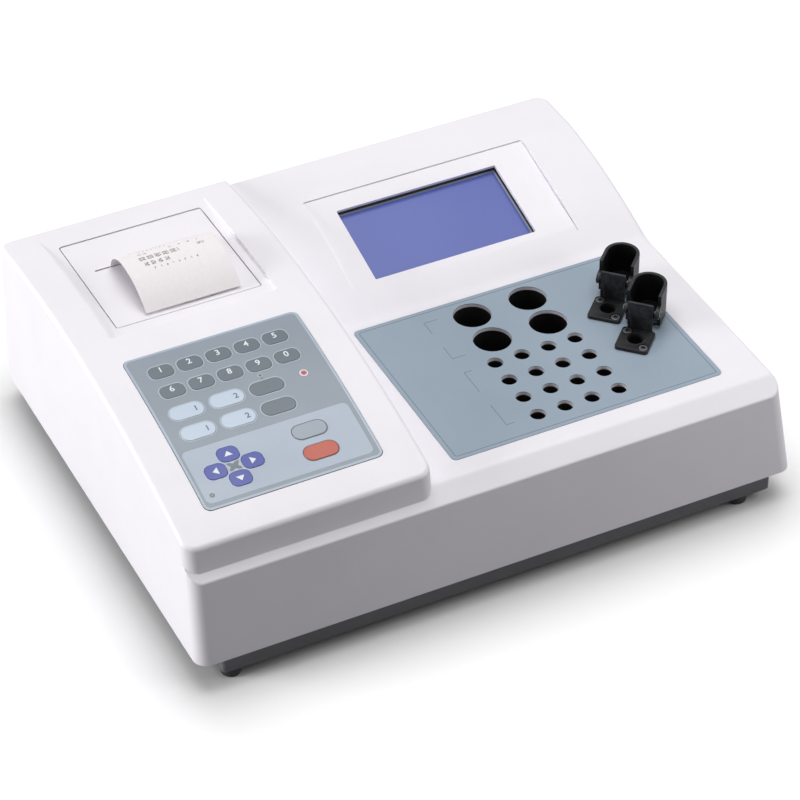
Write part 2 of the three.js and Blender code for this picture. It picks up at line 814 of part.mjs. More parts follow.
function fittingCutters(x, z, flangeWidth, flangeHeight, openingWidth, openingHeight) {
  const recess = alongDepth(
    centredRectangle(flangeWidth + fittingGap * 2, flangeHeight + fittingGap * 2, fittingCorner),
    fittingFaceY,
    bodyDepth + overrun,
  );
  const opening = alongDepth(
    centredRectangle(openingWidth + fittingGap * 2, openingHeight + fittingGap * 2, fittingGap),
    fittingFaceY - fittingOpeningDepth,
    bodyDepth + overrun,
  );
  return [recess, opening].map((tool) => tool.translate(x, 0, z));
}

const fittings = [
  ...fittingCutters(inletX, fittingZ, inletFlangeWidth, inletFlangeHeight, inletBodyWidth, inletBodyHeight),
  ...fittingCutters(switchX, fittingZ, switchFlangeWidth, switchFlangeHeight, switchBodyWidth, switchBodyHeight),
  ...fittingCutters(serialX, serialZ, serialFlangeWidth, serialFlangeHeight, serialShellWidth, serialShellHeight),
];

// Solid backing behind the rear fittings keeps the wall thick where they are let in
const fittingPads = [
  box(
    switchX - switchFlangeWidth, fittingFaceY - wall, fittingZ - inletFlangeHeight / 2 - wall,
    inletX + inletFlangeWidth / 2 + wall, bodyDepth + overrun, fittingZ + inletFlangeHeight / 2 + wall,
  ),
  box(
    serialX - serialFlangeWidth, fittingFaceY - wall, flangeThickness,
    serialX + serialFlangeWidth, bodyDepth + overrun, serialZ + serialFlangeHeight,
  ),
];

const bossPlaces = [];
for (const x of [bossLeftX, bossRightX]) {
  for (const y of [bossFrontY, bossRearY]) {
    bossPlaces.push([x, y]);
  }
}
const bosses = bossPlaces.map(([x, y]) => uprightCylinder(x, y, bossRadius, flangeThickness, crestZ + overrun));

const cavity = carved(caseSolid(wall, -overrun), ...bosses, displayPad, printerPad, ...fittingPads);
const housing = carved(
  carved(caseSolid(0, 0), cavity),
  keypadPocket,
  deckPocket,
  displayRecess,
  displayOpening,
  printerRecess,
  printerOpening,
  ...fittings,
  ...wellCutters(deckZ - wall * 2, deckZ + overrun),
  ...channelCutters(plateHoleRadius, -wall * 2, overrun),
);
addPart(body, 'top_housing', housing, 'housingPlastic');

// Base tray with the flange that closes the housing
const trayOutline = (inset) => roundedRectangle(
  trayLeftX + inset, trayFrontY + inset, trayRightX - inset, trayRearY - inset, trayCornerRadius - inset,
);
const flangeInset = wall + fittingGap;
const flange = upright(
  roundedRectangle(
    flangeInset + leftDraftShare * flangeThickness,
    flangeInset + frontDraftShare * flangeThickness,
    bodyWidth - flangeInset - rightDraftShare * flangeThickness,
    bodyDepth - flangeInset - rearDraftShare * flangeThickness,
    cornerRadius - flangeInset,
  ),
  0,
  flangeThickness,
);
const trayFloorZ = trayWall - trayDepth;
const footPlaces = [];
for (const x of [footLeftX, footRightX]) {
  for (const y of [footFrontY, footRearY]) {
    footPlaces.push([x, y]);
  }
}
const boardPosts = [];
for (const x of [boardLeftX + boardPostInset, boardRightX - boardPostInset]) {
  for (const y of [boardFrontY + boardPostInset, boardRearY - boardPostInset]) {
    boardPosts.push(uprightCylinder(x, y, boardPostRadius, trayFloorZ - trayWall / 2, boardZ));
  }
}
const tray = joined(
  carved(
    joined(upright(trayOutline(0), -trayDepth, flangeThickness / 2), flange),
    upright(trayOutline(trayWall), trayFloorZ, flangeThickness + overrun),
    ...footPlaces.map(([x, y]) => uprightCylinder(x, y, footPlugRadius + slidingGap, -trayDepth - overrun, 0)),
  ),
  ...boardPosts,
);
addPart(body, 'base_tray', tray, 'trayPaint');

// Feet: a tapered pad with a plug pressed up through the tray
const footNames = ['front_left', 'rear_left', 'front_right', 'rear_right'];
footPlaces.forEach(([x, y], i) => {
  const profile = [
    [0, -trayDepth - footHeight],
    [footRadius - footTaper, -trayDepth - footHeight],
    [footRadius, -trayDepth],
    [footPlugRadius, -trayDepth],
    [footPlugRadius, trayFloorZ],
    [0, trayFloorZ],
  ].map(([across, up]) => new THREE.Vector2(across, up));
  const foot = new THREE.LatheGeometry(profile, footSides).rotateX(Math.PI / 2);
  const mesh = addPart(body, `rubber_foot_${footNames[i]}`, foot, 'footRubber');
  mesh.position.set(x, y, 0);
});

// Work area overlay
const overlay = carved(
  upright(
    roundedRectangle(
      overlayLeftX + slidingGap, overlayFrontY + slidingGap,
      overlayRightX - slidingGap, overlayRearY - slidingGap, overlayCornerRadius,
    ),
    overlayBottomZ,
    overlayTopZ,
  ),
  ...wellCutters(overlayBottomZ - overrun, overlayTopZ + overrun),
  ...channelCutters(plateHoleRadius, -overrun, overrun),
);
addPart(body, 'work_overlay', overlay, 'workFoil');

// Incubation block hangs under the deck, the heater is bonded beneath it
const deckUnderZ = deckZ - wall;
const blockLeftX = sampleFirstX - sampleWellRadius - blockMargin;
const blockRightX = sampleLastX + sampleWellRadius + blockMargin;
const blockFrontY = sampleFirstY - sampleWellRadius - blockMargin;
const blockRearY = reagentLastY + reagentWellRadius + blockMargin;
const block = carved(
  box(blockLeftX, blockFrontY, blockBottomZ, blockRightX, blockRearY, deckUnderZ),
  ...wellCutters(deckUnderZ - wellDepth, deckUnderZ + overrun),
);
addPart(body, 'incubation_block', block, 'blockAnodised');
const heater = box(
  blockLeftX + heaterInset, blockFrontY + heaterInset, blockBottomZ - heaterThickness,
  blockRightX - heaterInset, blockRearY - heaterInset, blockBottomZ,
);
addPart(body, 'heater_plate', heater, 'heaterFoil');

// Optical block under both measuring channels
const channelMiddleY = channelFirstY + channelPitch / 2;
const channelBlock = carved(
  box(
    channelX - channelBlockWidth / 2, channelMiddleY - channelPitch / 2 - channelBlockMargin,
    deckUnderZ - channelBlockHeight,
    channelX + channelBlockWidth / 2, channelMiddleY + channelPitch / 2 + channelBlockMargin,
    deckUnderZ,
  ),
  ...channelFrames.flatMap((frame) => [
    uprightCylinder(0, 0, cuvetteBoreRadius, -cuvetteBoreDepth, overrun),
    ...screwPlaces.map(([x, y]) => (
      uprightCylinder(x, y, screwShankRadius + slidingGap, -screwLength - overrun / 2, overrun, hexSides * 2)
    )),
  ].map((tool) => inBody(frame, tool))),
);
addPart(body, 'channel_block', channelBlock, 'blockAnodised');

// Bracket: plate with the cuvette hole, an upright behind it and two ears for the pivot
function bracketGeometry() {
  const uprightRearY = plateRearY + uprightThickness / 2;
  const uprightFrontY = uprightRearY - uprightThickness;
  const plate = upright(
    roundedRectangle(-plateHalfWidth, plateFrontY, plateHalfWidth, plateRearY, plateCornerRadius),
    restGap,
    plateThickness,
  );
  const wallPlate = box(
    -uprightHalfWidth, uprightFrontY, plateThickness / 2,
    uprightHalfWidth, uprightRearY, uprightTopZ,
  );
  const earOutline = polygon([
    [uprightFrontY, pivotZ - earReach * 2],
    [pivotY, pivotZ - earReach],
    [pivotY + earReach, pivotZ - earReach / 2],
    [pivotY + earReach, pivotZ + earReach / 2],
    [pivotY, pivotZ + earReach],
    [uprightFrontY, pivotZ + earReach * 2],
  ]);
  const ears = [
    acrossWidth(earOutline, -uprightHalfWidth, earThickness - uprightHalfWidth),
    acrossWidth(earOutline, uprightHalfWidth - earThickness, uprightHalfWidth),
  ];
  const pinHole = crossCylinder(
    pivotY, pivotZ, pivotRadius + restGap, -uprightHalfWidth - overrun, uprightHalfWidth + overrun, pivotSides,
  );
  const screwSeats = screwPlaces.flatMap(([x, y]) => [
    uprightCylinder(x, y, screwShankRadius + slidingGap, -overrun, overrun, hexSides * 2),
    uprightCylinder(x, y, screwHeadRadius + slidingGap, plateThickness - screwHeadDepth, overrun),
  ]);
  return carved(
    joined(plate, wallPlate, ...ears),
    uprightCylinder(0, 0, plateHoleRadius, -overrun, plateThickness + overrun, largeBoreSides),
    ...screwSeats,
    pinHole,
  );
}

// Hood: an open-fronted cup with a U-shaped plan and lugs reaching forward to the pivot
const hoodTopZ = pivotZ * 2 - plateThickness - hoodRimGap;

function hoodPlan(inset, front) {
  const shape = new THREE.Shape();
  const reach = hoodHalfWidth - inset;
  shape.moveTo(-reach, front);
  shape.lineTo(reach, front);
  shape.lineTo(reach, hoodArcY);
  shape.absarc(0, hoodArcY, reach, 0, Math.PI);
  return shape;
}

function hoodGeometry() {
  const cup = carved(
    upright(hoodPlan(0, hoodFrontY), hoodFloorZ, hoodTopZ, hoodArcSteps),
    upright(
      hoodPlan(hoodWall, hoodFrontY - overrun), hoodFloorZ + hoodFloorThickness, hoodTopZ + overrun, hoodArcSteps,
    ),
  );
  const lugOutline = polygon([
    [hoodFrontY + hoodLugRadius, pivotZ - hoodLugRadius],
    [hoodFrontY + hoodLugRadius, pivotZ + hoodLugRadius],
    [pivotY, pivotZ + hoodLugRadius],
    [pivotY - hoodLugRadius * Math.SQRT1_2, pivotZ + hoodLugRadius * Math.SQRT1_2],
    [pivotY - hoodLugRadius, pivotZ],
    [pivotY - hoodLugRadius * Math.SQRT1_2, pivotZ - hoodLugRadius * Math.SQRT1_2],
    [pivotY, pivotZ - hoodLugRadius],
  ]);
  const lugs = [
    acrossWidth(lugOutline, -hoodHalfWidth, hoodWall - hoodHalfWidth),
    acrossWidth(lugOutline, hoodHalfWidth - hoodWall, hoodHalfWidth),
  ];
  const pinHole = crossCylinder(
    pivotY, pivotZ, pivotRadius + restGap, -hoodHalfWidth - overrun, hoodHalfWidth + overrun, pivotSides,
  );
  return carved(joined(cup, ...lugs), pinHole);
}

// Pivot pin with a socket head at each end
function pivotPinGeometry() {
  const reach = hoodHalfWidth + slidingGap;
  const headReach = reach + pivotHeadThickness;
  return carved(
    joined(
      crossCylinder(pivotY, pivotZ, pivotRadius, -reach - restGap, reach + restGap, pivotSides),
      crossCylinder(pivotY, pivotZ, pivotHeadRadius, reach, headReach, pivotSides),
      crossCylinder(pivotY, pivotZ, pivotHeadRadius, -headReach, -reach, pivotSides),
    ),
    crossCylinder(pivotY, pivotZ, socketRadius, headReach - pivotHeadThickness / 2, headReach + overrun, hexSides),
    crossCylinder(pivotY, pivotZ, socketRadius, -headReach - overrun, pivotHeadThickness / 2 - headReach, hexSides),
  );
}

function bracketScrewGeometry() {
  const headBottom = plateThickness - screwHeadDepth + restGap;
  return carved(
    joined(
      uprightCylinder(0, 0, screwShankRadius, -screwLength, headBottom + restGap, hexSides * 2),
      uprightCylinder(0, 0, screwHeadRadius, headBottom, plateThickness),
    ),
    uprightCylinder(0, 0, socketRadius, plateThickness - socketDepth, plateThickness + overrun, hexSides),
  );
}

channelFrames.forEach((frame, i) => {
  const channel = i + 1;
  addPart(frame, `channel_${channel}_bracket`, bracketGeometry(), 'fixturePlastic');
  addPart(frame, `channel_${channel}_hood`, hoodGeometry(), 'fixturePlastic');
  addPart(frame, `channel_${channel}_pivot_pin`, pivotPinGeometry(), 'screwSteel');
  screwPlaces.forEach(([x, y], j) => {
    const side = j === 0 ? 'front' : 'rear';
    const mesh = addPart(frame, `channel_${channel}_${side}_screw`, bracketScrewGeometry(), 'screwSteel');
    mesh.position.set(x, y, 0);
  });
});

// Display: a gasket under the opening, the pane pressed against it, the module behind
const gasketTopW = -displayPadThickness - restGap;
const gasketBottomW = gasketTopW - gasketThickness;
const gasket = carved(
  upright(
    roundedRectangle(
      windowLeftX - gasketMargin, windowFrontV - gasketMargin,
      windowRightX + gasketMargin, windowRearV + gasketMargin, windowCorner,
    ),
    gasketBottomW,
    gasketTopW,
  ),
  upright(
    roundedRectangle(
      windowLeftX - gasketGap, windowFrontV - gasketGap,
      windowRightX + gasketGap, windowRearV + gasketGap, windowCorner,
    ),
    gasketBottomW - overrun,
    gasketTopW + overrun,
  ),
);
addPart(displayFrame, 'display_gasket', gasket, 'displayModule');
const paneTopW = gasketBottomW - restGap;
const pane = upright(
  roundedRectangle(
    windowLeftX - paneMargin, windowFrontV - paneMargin,
    windowRightX + paneMargin, windowRearV + paneMargin, windowCorner,
  ),
  paneTopW - paneThickness,
  paneTopW,
);
addPart(displayFrame, 'display_window', pane, 'displayPane');
const moduleTopW = paneTopW - paneThickness - fittingGap;
const displayModule = box(
  windowLeftX - moduleMargin, windowFrontV - moduleMargin, moduleTopW - moduleThickness,
  windowRightX + moduleMargin, windowRearV + moduleMargin, moduleTopW,
);
addPart(displayFrame, 'display_module', displayModule, 'displayModule');

// Keypad: switch board on the pocket floor, the foil above it, keys in its openings
const keypadInnerOutline = roundedRectangle(
  keypadLeftX + slidingGap, keypadFrontY + slidingGap,
  keypadRightX - slidingGap, keypadRearY - slidingGap, keypadCornerRadius,
);
const boardBottomOffset = restGap - keypadPocketDepth;
const boardTopOffset = boardBottomOffset + keypadBoardThickness;
const keypadBoard = consoleSlab(keypadInnerOutline, boardBottomOffset, boardTopOffset);
addPart(body, 'keypad_board', keypadBoard, 'boardGreen');
const keypadFoil = carved(
  consoleSlab(keypadInnerOutline, boardTopOffset + restGap, keypadProud),
  ...keyPlan.map(({ kind, frame }) => inBody(frame, upright(keyOutlines[kind](keyClearance), -overrun, overrun))),
);
addPart(body, 'keypad_overlay', keypadFoil, 'keypadFoil');
keyPlan.forEach(({ name, kind, finish, frame }) => {
  addPart(frame, name, upright(keyOutlines[kind](0), -keyBottomDepth, keyProud), finish);
});

// Printer bucket: open-topped tub with a flange under the recess floor
const bucketLeftX = lidLeftX + bucketInset;
const bucketRightX = lidRightX - bucketInset;
const bucketFrontV = lidFrontV + bucketInset;
const bucketRearV = lidRearV - bucketInset;
const bucketTopW = -lidThickness - restGap;
const bucketFloorW = bucketTopW - bucketDepth;
const flangeTopW = -printerPadThickness - fittingGap;
const platenReach = bucketWall / 2;
const bucketShell = carved(
  joined(
    box(
      bucketLeftX, bucketFrontV, bucketFloorW - bucketFloorThickness,
      bucketRightX, bucketRearV, bucketTopW,
    ),
    box(
      bucketLeftX - bucketFlange, bucketFrontV - bucketFlange, flangeTopW - bucketWall,
      bucketRightX + bucketFlange, bucketRearV + bucketFlange, flangeTopW,
    ),
  ),
  box(
    bucketLeftX + bucketWall, bucketFrontV + bucketWall, bucketFloorW,
    bucketRightX - bucketWall, bucketRearV - bucketWall, bucketTopW + overrun,
  ),
  // room for the rear edge of the lid, which dips as the lid opens
  box(
    lidLeftX - fittingGap, lidPivotV, lidPivotW - lidSweep,
    lidRightX + fittingGap, bucketRearV + bucketFlange + overrun, overrun,
  ),
);
const bucket = carved(
  joined(
    bucketShell,
    crossCylinder(lidPivotV, lidPivotW, lidBearingRadius, bucketLeftX, bucketLeftX + bucketWall),
    crossCylinder(lidPivotV, lidPivotW, lidBearingRadius, bucketRightX - bucketWall, bucketRightX),
  ),
  crossCylinder(
    lidPivotV, lidPivotW, lidPinRadius + restGap,
    bucketLeftX - overrun, bucketRightX + overrun,
  ),
  crossCylinder(
    platenV, platenW, platenAxleRadius + restGap,
    bucketLeftX + bucketWall - platenReach, bucketRightX - bucketWall + platenReach,
  ),
);
addPart(printerFrame, 'printer_bucket', bucket, 'printerPlastic');

// Lid with the paper slot and two lugs on the hinge pin
const lugPlaces = [
  [bucketLeftX + bucketWall + lidLugInset, bucketLeftX + bucketWall + lidLugInset + lidLugWidth],
  [bucketRightX - bucketWall - lidLugInset - lidLugWidth, bucketRightX - bucketWall - lidLugInset],
];
const lid = carved(
  joined(
    upright(roundedRectangle(lidLeftX, lidFrontV, lidRightX, lidRearV, lidCornerRadius), -lidThickness, 0),
    ...lugPlaces.flatMap(([left, right]) => [
      crossCylinder(lidPivotV, lidPivotW, lidLugRadius, left, right),
      box(
        left, lidPivotV - lidLugRadius, lidPivotW,
        right, lidPivotV + lidLugRadius, -lidThickness / 2,
      ),
    ]),
  ),
  box(slotLeftX, slotV - slotWidth / 2, -overrun, slotRightX, slotV + slotWidth / 2, overrun),
  ...lugPlaces.map(([left, right]) => crossCylinder(
    lidPivotV, lidPivotW, lidPinRadius + restGap, left - overrun / 2, right + overrun / 2,
  )),
);
addPart(printerFrame, 'printer_lid', lid, 'housingPlastic');
const lidPin = crossCylinder(lidPivotV, lidPivotW, lidPinRadius, bucketLeftX, bucketRightX);
addPart(printerFrame, 'lid_hinge_pin', lidPin, 'screwSteel');

// Platen roller, print head, paper roll and the printed strip
const platen = joined(
  crossCylinder(
    platenV, platenW, platenRadius,
    bucketLeftX + bucketWall + fittingGap * 2, bucketRightX - bucketWall - fittingGap * 2,
  ),
  crossCylinder(
    platenV, platenW, platenAxleRadius,
    bucketLeftX + bucketWall - platenReach + slidingGap, bucketRightX - bucketWall + platenReach - slidingGap,
  ),
);
addPart(printerFrame, 'platen_roller', platen, 'platenRubber');
const headFrontV = platenV + platenRadius + fittingGap;
const printHead = box(
  bucketLeftX + bucketWall + fittingGap, headFrontV, platenW - headHeight / 2,
  bucketRightX - bucketWall - fittingGap, headFrontV + headThickness, platenW + headHeight / 4,
);
addPart(printerFrame, 'print_head', printHead, 'supplyMetal');
const rollMiddleX = (bucketLeftX + bucketRightX) / 2;
const rollW = bucketFloorW + rollRadius + slidingGap;
const roll = carved(
  crossCylinder(rollV, rollW, rollRadius, rollMiddleX - rollWidth / 2, rollMiddleX + rollWidth / 2, rollSides),
  crossCylinder(
    rollV, rollW, rollCoreRadius, rollMiddleX - rollWidth / 2 - overrun, rollMiddleX + rollWidth / 2 + overrun,
  ),
);
addPart(printerFrame, 'paper_roll', roll, 'paper');
const stripCurve = new THREE.CubicBezierCurve(
  new THREE.Vector2(slotV, stripTailW),
  new THREE.Vector2(slotV, stripRise),
  new THREE.Vector2(stripFallV, stripFallW),
  new THREE.Vector2(stripEndV, stripEndW),
);
const stripPoints = stripCurve.getPoints(stripSteps);
const stripSide = (side) => stripPoints.map((point, i) => {
  const along = stripCurve.getTangent(i / stripSteps);
  return new THREE.Vector2(point.x - along.y * side, point.y + along.x * side);
});
const strip = acrossWidth(
  new THREE.Shape([...stripSide(stripThickness / 2), ...stripSide(-stripThickness / 2).reverse()]),
  stripLeftX,
  stripLeftX + stripWidth,
);
addPart(printerFrame, 'paper_strip', strip, 'paper');

// Main board on its posts, with the largest components
const boardTopZ = boardZ + boardThickness;
const boardMiddleX = (boardLeftX + boardRightX) / 2;
const boardMiddleY = (boardFrontY + boardRearY) / 2;
const mainBoard = joined(
  box(boardLeftX, boardFrontY, boardZ, boardRightX, boardRearY, boardTopZ),
  box(
    boardMiddleX - chipSide / 2, boardMiddleY - chipSide / 2, boardTopZ - boardThickness / 2,
    boardMiddleX + chipSide / 2, boardMiddleY + chipSide / 2, boardTopZ + chipHeight,
  ),
  box(
    boardMiddleX - connectorWidth / 2, boardFrontY + connectorDepth, boardTopZ - boardThickness / 2,
    boardMiddleX + connectorWidth / 2, boardFrontY + connectorDepth * 2, boardTopZ + connectorHeight,
  ),
  ...[1, 2].map((place) => uprightCylinder(
    boardLeftX + boardPostInset * 2 + place * capacitorRadius * 3, boardMiddleY,
    capacitorRadius, boardTopZ - boardThickness / 2, boardTopZ + capacitorHeight,
  )),
);
addPart(body, 'main_board', mainBoard, 'boardGreen');

// Power supply in its metal case, standing on the tray floor
const supply = upright(
  roundedRectangle(supplyLeftX, supplyFrontY, supplyRightX, supplyRearY, supplyCorner),
  trayFloorZ,
  supplyTopZ,
);
addPart(body, 'power_supply', supply, 'supplyMetal');

// Rear fittings: mains inlet, rocker switch and serial port
const fittingRearY = fittingFaceY + fittingPanelThickness;
const inlet = carved(
  joined(
    alongDepth(centredRectangle(inletFlangeWidth, inletFlangeHeight, fittingCorner), fittingFaceY, fittingRearY),
    alongDepth(
      centredRectangle(inletBodyWidth, inletBodyHeight, fittingCorner), fittingFaceY - inletBodyDepth, fittingRearY,
    ),
  ),
  alongDepth(
    centredRectangle(
      inletBodyWidth - inletSocketInset * 2, inletBodyHeight - inletSocketInset * 2, fittingCorner,
    ),
    fittingRearY - inletSocketDepth,
    fittingRearY + overrun,
  ),
);
const inletPins = [-1, 0, 1].map((place) => {
  const x = place * inletPinPitch;
  const z = place === 0 ? inletPinRise : -inletPinRise;
  return box(
    x - inletPinWidth / 2, fittingRearY - inletSocketDepth - inletSocketInset, z - inletPinHeight / 2,
    x + inletPinWidth / 2, fittingRearY - inletSocketDepth + inletPinReach, z + inletPinHeight / 2,
  );
});
const inletMesh = addPart(body, 'power_inlet', joined(inlet, ...inletPins), 'inletPlastic');
inletMesh.position.set(inletX, 0, fittingZ);

const switchFrame = carved(
  joined(
    alongDepth(centredRectangle(switchFlangeWidth, switchFlangeHeight, fittingCorner), fittingFaceY, fittingRearY),
    alongDepth(
      centredRectangle(switchBodyWidth, switchBodyHeight, fittingGap), fittingFaceY - switchBodyDepth, fittingRearY,
    ),
  ),
  alongDepth(
    centredRectangle(
      switchBodyWidth - switchFrameWall * 2, switchBodyHeight - switchFrameWall * 2, fittingGap,
    ),
    fittingRearY - switchBodyDepth / 2,
    fittingRearY + overrun,
  ),
);
const switchFrameMesh = addPart(body, 'switch_frame', switchFrame, 'inletPlastic');
switchFrameMesh.position.set(switchX, 0, fittingZ);

// Rocker: two faces sloping to a valley over the pivot
const rockerHalfWidth = switchBodyWidth / 2 - switchFrameWall - rockerGap;
const rocker = acrossWidth(
  polygon([
    [-rockerBackDepth, -rockerBackHalfHeight],
    [rockerFaceDepth - rockerEdge, -rockerHalfHeight],
    [rockerFaceDepth, -rockerHalfHeight],
    [rockerValleyDepth, 0],
    [rockerFaceDepth, rockerHalfHeight],
    [rockerFaceDepth - rockerEdge, rockerHalfHeight],
    [-rockerBackDepth, rockerBackHalfHeight],
  ]),
  -rockerHalfWidth,
  rockerHalfWidth,
);
const rockerMesh = addPart(body, 'power_switch_rocker', rocker, 'inletPlastic');
rockerMesh.position.set(switchX, fittingRearY - rockerPivotDepth, fittingZ);
rockerMesh.rotation.x = rockerTilt;

const serialPort = carved(
  joined(
    alongDepth(centredRectangle(serialFlangeWidth, serialFlangeHeight, fittingCorner), fittingFaceY, fittingRearY),
    alongDepth(
      centredRectangle(serialShellWidth, serialShellHeight, fittingCorner),
      fittingFaceY - serialBodyDepth,
      fittingRearY + serialReach - fittingPanelThickness,
    ),
  ),
  alongDepth(
    centredRectangle(
      serialShellWidth - serialShellWall * 2, serialShellHeight - serialShellWall * 2, fittingCorner - serialShellWall,
    ),
    fittingRearY - serialShellHeight,
    fittingRearY + overrun,
  ),
);
const serialMesh = addPart(body, 'serial_port', serialPort, 'supplyMetal');
serialMesh.position.set(serialX, 0, serialZ);

export default analyzer;
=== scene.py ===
import json
import math

import bmesh
import bpy
from mathutils import Matrix, Vector


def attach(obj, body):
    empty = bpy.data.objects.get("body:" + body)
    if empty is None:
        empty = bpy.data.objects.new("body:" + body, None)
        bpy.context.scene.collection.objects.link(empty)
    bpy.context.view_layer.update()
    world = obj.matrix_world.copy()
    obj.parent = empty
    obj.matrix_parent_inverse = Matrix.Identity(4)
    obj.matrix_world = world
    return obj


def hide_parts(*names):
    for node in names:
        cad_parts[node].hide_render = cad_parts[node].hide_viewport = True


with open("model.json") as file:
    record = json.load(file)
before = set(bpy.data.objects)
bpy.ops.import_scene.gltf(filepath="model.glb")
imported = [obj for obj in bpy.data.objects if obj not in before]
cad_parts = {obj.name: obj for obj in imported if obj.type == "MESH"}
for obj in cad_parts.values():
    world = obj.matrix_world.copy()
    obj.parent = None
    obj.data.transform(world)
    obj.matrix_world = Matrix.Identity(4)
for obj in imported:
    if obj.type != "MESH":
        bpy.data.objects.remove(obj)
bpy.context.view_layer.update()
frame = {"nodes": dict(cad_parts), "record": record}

# Pieces are modelled in millimetres, from the front left bottom corner of the white housing
millimetre = 0.001
housingCorner = Vector((-177.5, -139.2, 19.0))
onBody = Matrix.Scale(millimetre, 4) @ Matrix.Translation(housingCorner)


def turned(x, y, z, aboutX=0.0, aboutZ=0.0):
    return Matrix.Translation((x, y, z)) @ Matrix.Rotation(aboutX, 4, "X") @ Matrix.Rotation(aboutZ, 4, "Z")


def fromScreen(red, green, blue):
    channels = []
    for value in (red, green, blue):
        value = value / 255
        channels.append(value / 12.92 if value <= 0.04045 else ((value + 0.055) / 1.055) ** 2.4)
    return (*channels, 1.0)


# Selecting and editing, as by hand

def deselect():
    bpy.ops.object.select_all(action="DESELECT")


def only(piece):
    if bpy.context.object and bpy.context.object.mode != "OBJECT":
        bpy.ops.object.mode_set(mode="OBJECT")
    deselect()
    piece.select_set(True)
    bpy.context.view_layer.objects.active = piece


def select(piece, kind, wanted):
    only(piece)
    bpy.ops.object.mode_set(mode="EDIT")
    bpy.ops.mesh.select_mode(type=kind)
    bpy.ops.mesh.select_all(action="DESELECT")
    mesh = bmesh.from_edit_mesh(piece.data)
    mesh.normal_update()
    parts = {"VERT": mesh.verts, "EDGE": mesh.edges, "FACE": mesh.faces}[kind]
    chosen = [part for part in parts if wanted(part)]
    for part in chosen:
        part.select_set(True)
    bmesh.update_edit_mesh(piece.data)
    return len(chosen)


def leaveEdit():
    bpy.ops.object.mode_set(mode="OBJECT")


def everything(part):
    return True


def outward(piece):
    select(piece, "FACE", everything)
    bpy.ops.mesh.normals_make_consistent(inside=False)
    leaveEdit()


def named(piece, name):
    piece.name = piece.data.name = name
    return piece


def started(name):
    piece = named(bpy.context.object, name)
    bpy.ops.object.transform_apply(location=True, rotation=True, scale=True)
    return piece


# Left, front, right and rear of an area, moved outwards by a margin
def grown(area, margin):
    left, front, right, rear = area
    return left - margin, front - margin, right + margin, rear + margin


def centred(width, depth):
    return -width / 2, -depth / 2, width / 2, depth / 2


# A plate with round corners, drawn up to its height
def slab(name, x0, y0, x1, y1, bottom, top, corner=0.0, segments=6, rounded=everything):
    deselect()
    bpy.ops.mesh.primitive_plane_add(size=1, location=((x0 + x1) / 2, (y0 + y1) / 2, bottom))
    bpy.context.object.scale = (x1 - x0, y1 - y0, 1)
    piece = started(name)
    if corner:
        select(piece, "VERT", rounded)
        bpy.ops.mesh.bevel(offset=corner, segments=segments, affect="VERTICES", clamp_overlap=False)
    select(piece, "FACE", everything)
    bpy.ops.mesh.extrude_region_move(TRANSFORM_OT_translate={"value": (0, 0, top - bottom)})
    outward(piece)
    return piece


def drawnOut(name, outline, reach):
    deselect()
    bpy.ops.mesh.primitive_circle_add(vertices=len(outline), radius=1, fill_type="NGON")
    piece = started(name)
    for vert, point in zip(piece.data.vertices, outline):
        vert.co = point
    select(piece, "FACE", everything)
    bpy.ops.mesh.extrude_region_move(TRANSFORM_OT_translate={"value": reach})
    outward(piece)
    return piece


# An outline in Y and Z, drawn out along X
def prism(name, outline, left, right):
    return drawnOut(name, [(left, y, z) for y, z in outline], (right - left, 0, 0))


# An outline in X and Y, drawn up along Z
def plate(name, outline, bottom, top):
    return drawnOut(name, [(x, y, bottom) for x, y in outline], (0, 0, top - bottom))


# An upright round bar
def rod(name, x, y, bottom, top, radius, sides=40):
    deselect()
    bpy.ops.mesh.primitive_cylinder_add(
        vertices=sides, radius=radius, depth=top - bottom, location=(x, y, (bottom + top) / 2),
    )
    return started(name)


# A round bar along X
def crossRod(name, y, z, left, right, radius, sides=32):
    deselect()
    bpy.ops.mesh.primitive_cylinder_add(
        vertices=sides, radius=radius, depth=right - left,
        location=((left + right) / 2, y, z), rotation=(0, math.pi / 2, 0),
    )
    return started(name)


def moved(piece, place):
    piece.data.transform(place)
    return piece


def joined(first, *others):
    only(first)
    for other in others:
        other.select_set(True)
    bpy.ops.object.join()
    return first


def combine(piece, operation, tool):
    modifier = piece.modifiers.new(operation.lower(), "BOOLEAN")
    modifier.operation = operation
    modifier.solver = "EXACT"
    modifier.object = tool
    only(piece)
    bpy.ops.object.modifier_apply(modifier=modifier.name)
    removed(tool)
    return piece


def cut(piece, *tools):
    for tool in tools:
        combine(piece, "DIFFERENCE", tool)
    return piece


# Doubles left by a bevel are merged, or the next boolean fails
mergeDistance = 0.003


def bevelEdges(piece, width, segments, wanted):
    if select(piece, "EDGE", wanted):
        bpy.ops.mesh.bevel(offset=width, segments=segments, affect="EDGES", clamp_overlap=False)
        bpy.ops.mesh.select_all(action="SELECT")
        bpy.ops.mesh.remove_doubles(threshold=mergeDistance)
    leaveEdit()
    return piece


def softened(piece, width, segments=2, angle=40):
    modifier = piece.modifiers.new("edges", "BEVEL")
    modifier.width = width
    modifier.segments = segments
    modifier.limit_method = "ANGLE"
    modifier.angle_limit = math.radians(angle)
    only(piece)
    bpy.ops.object.modifier_apply(modifier=modifier.name)
    return piece


def copyOf(piece, name):
    copy = piece.copy()
    copy.data = piece.data.copy()
    bpy.context.collection.objects.link(copy)
    return named(copy, name)


def removed(*pieces):
    for piece in pieces:
        bpy.data.objects.remove(piece, do_unlink=True)


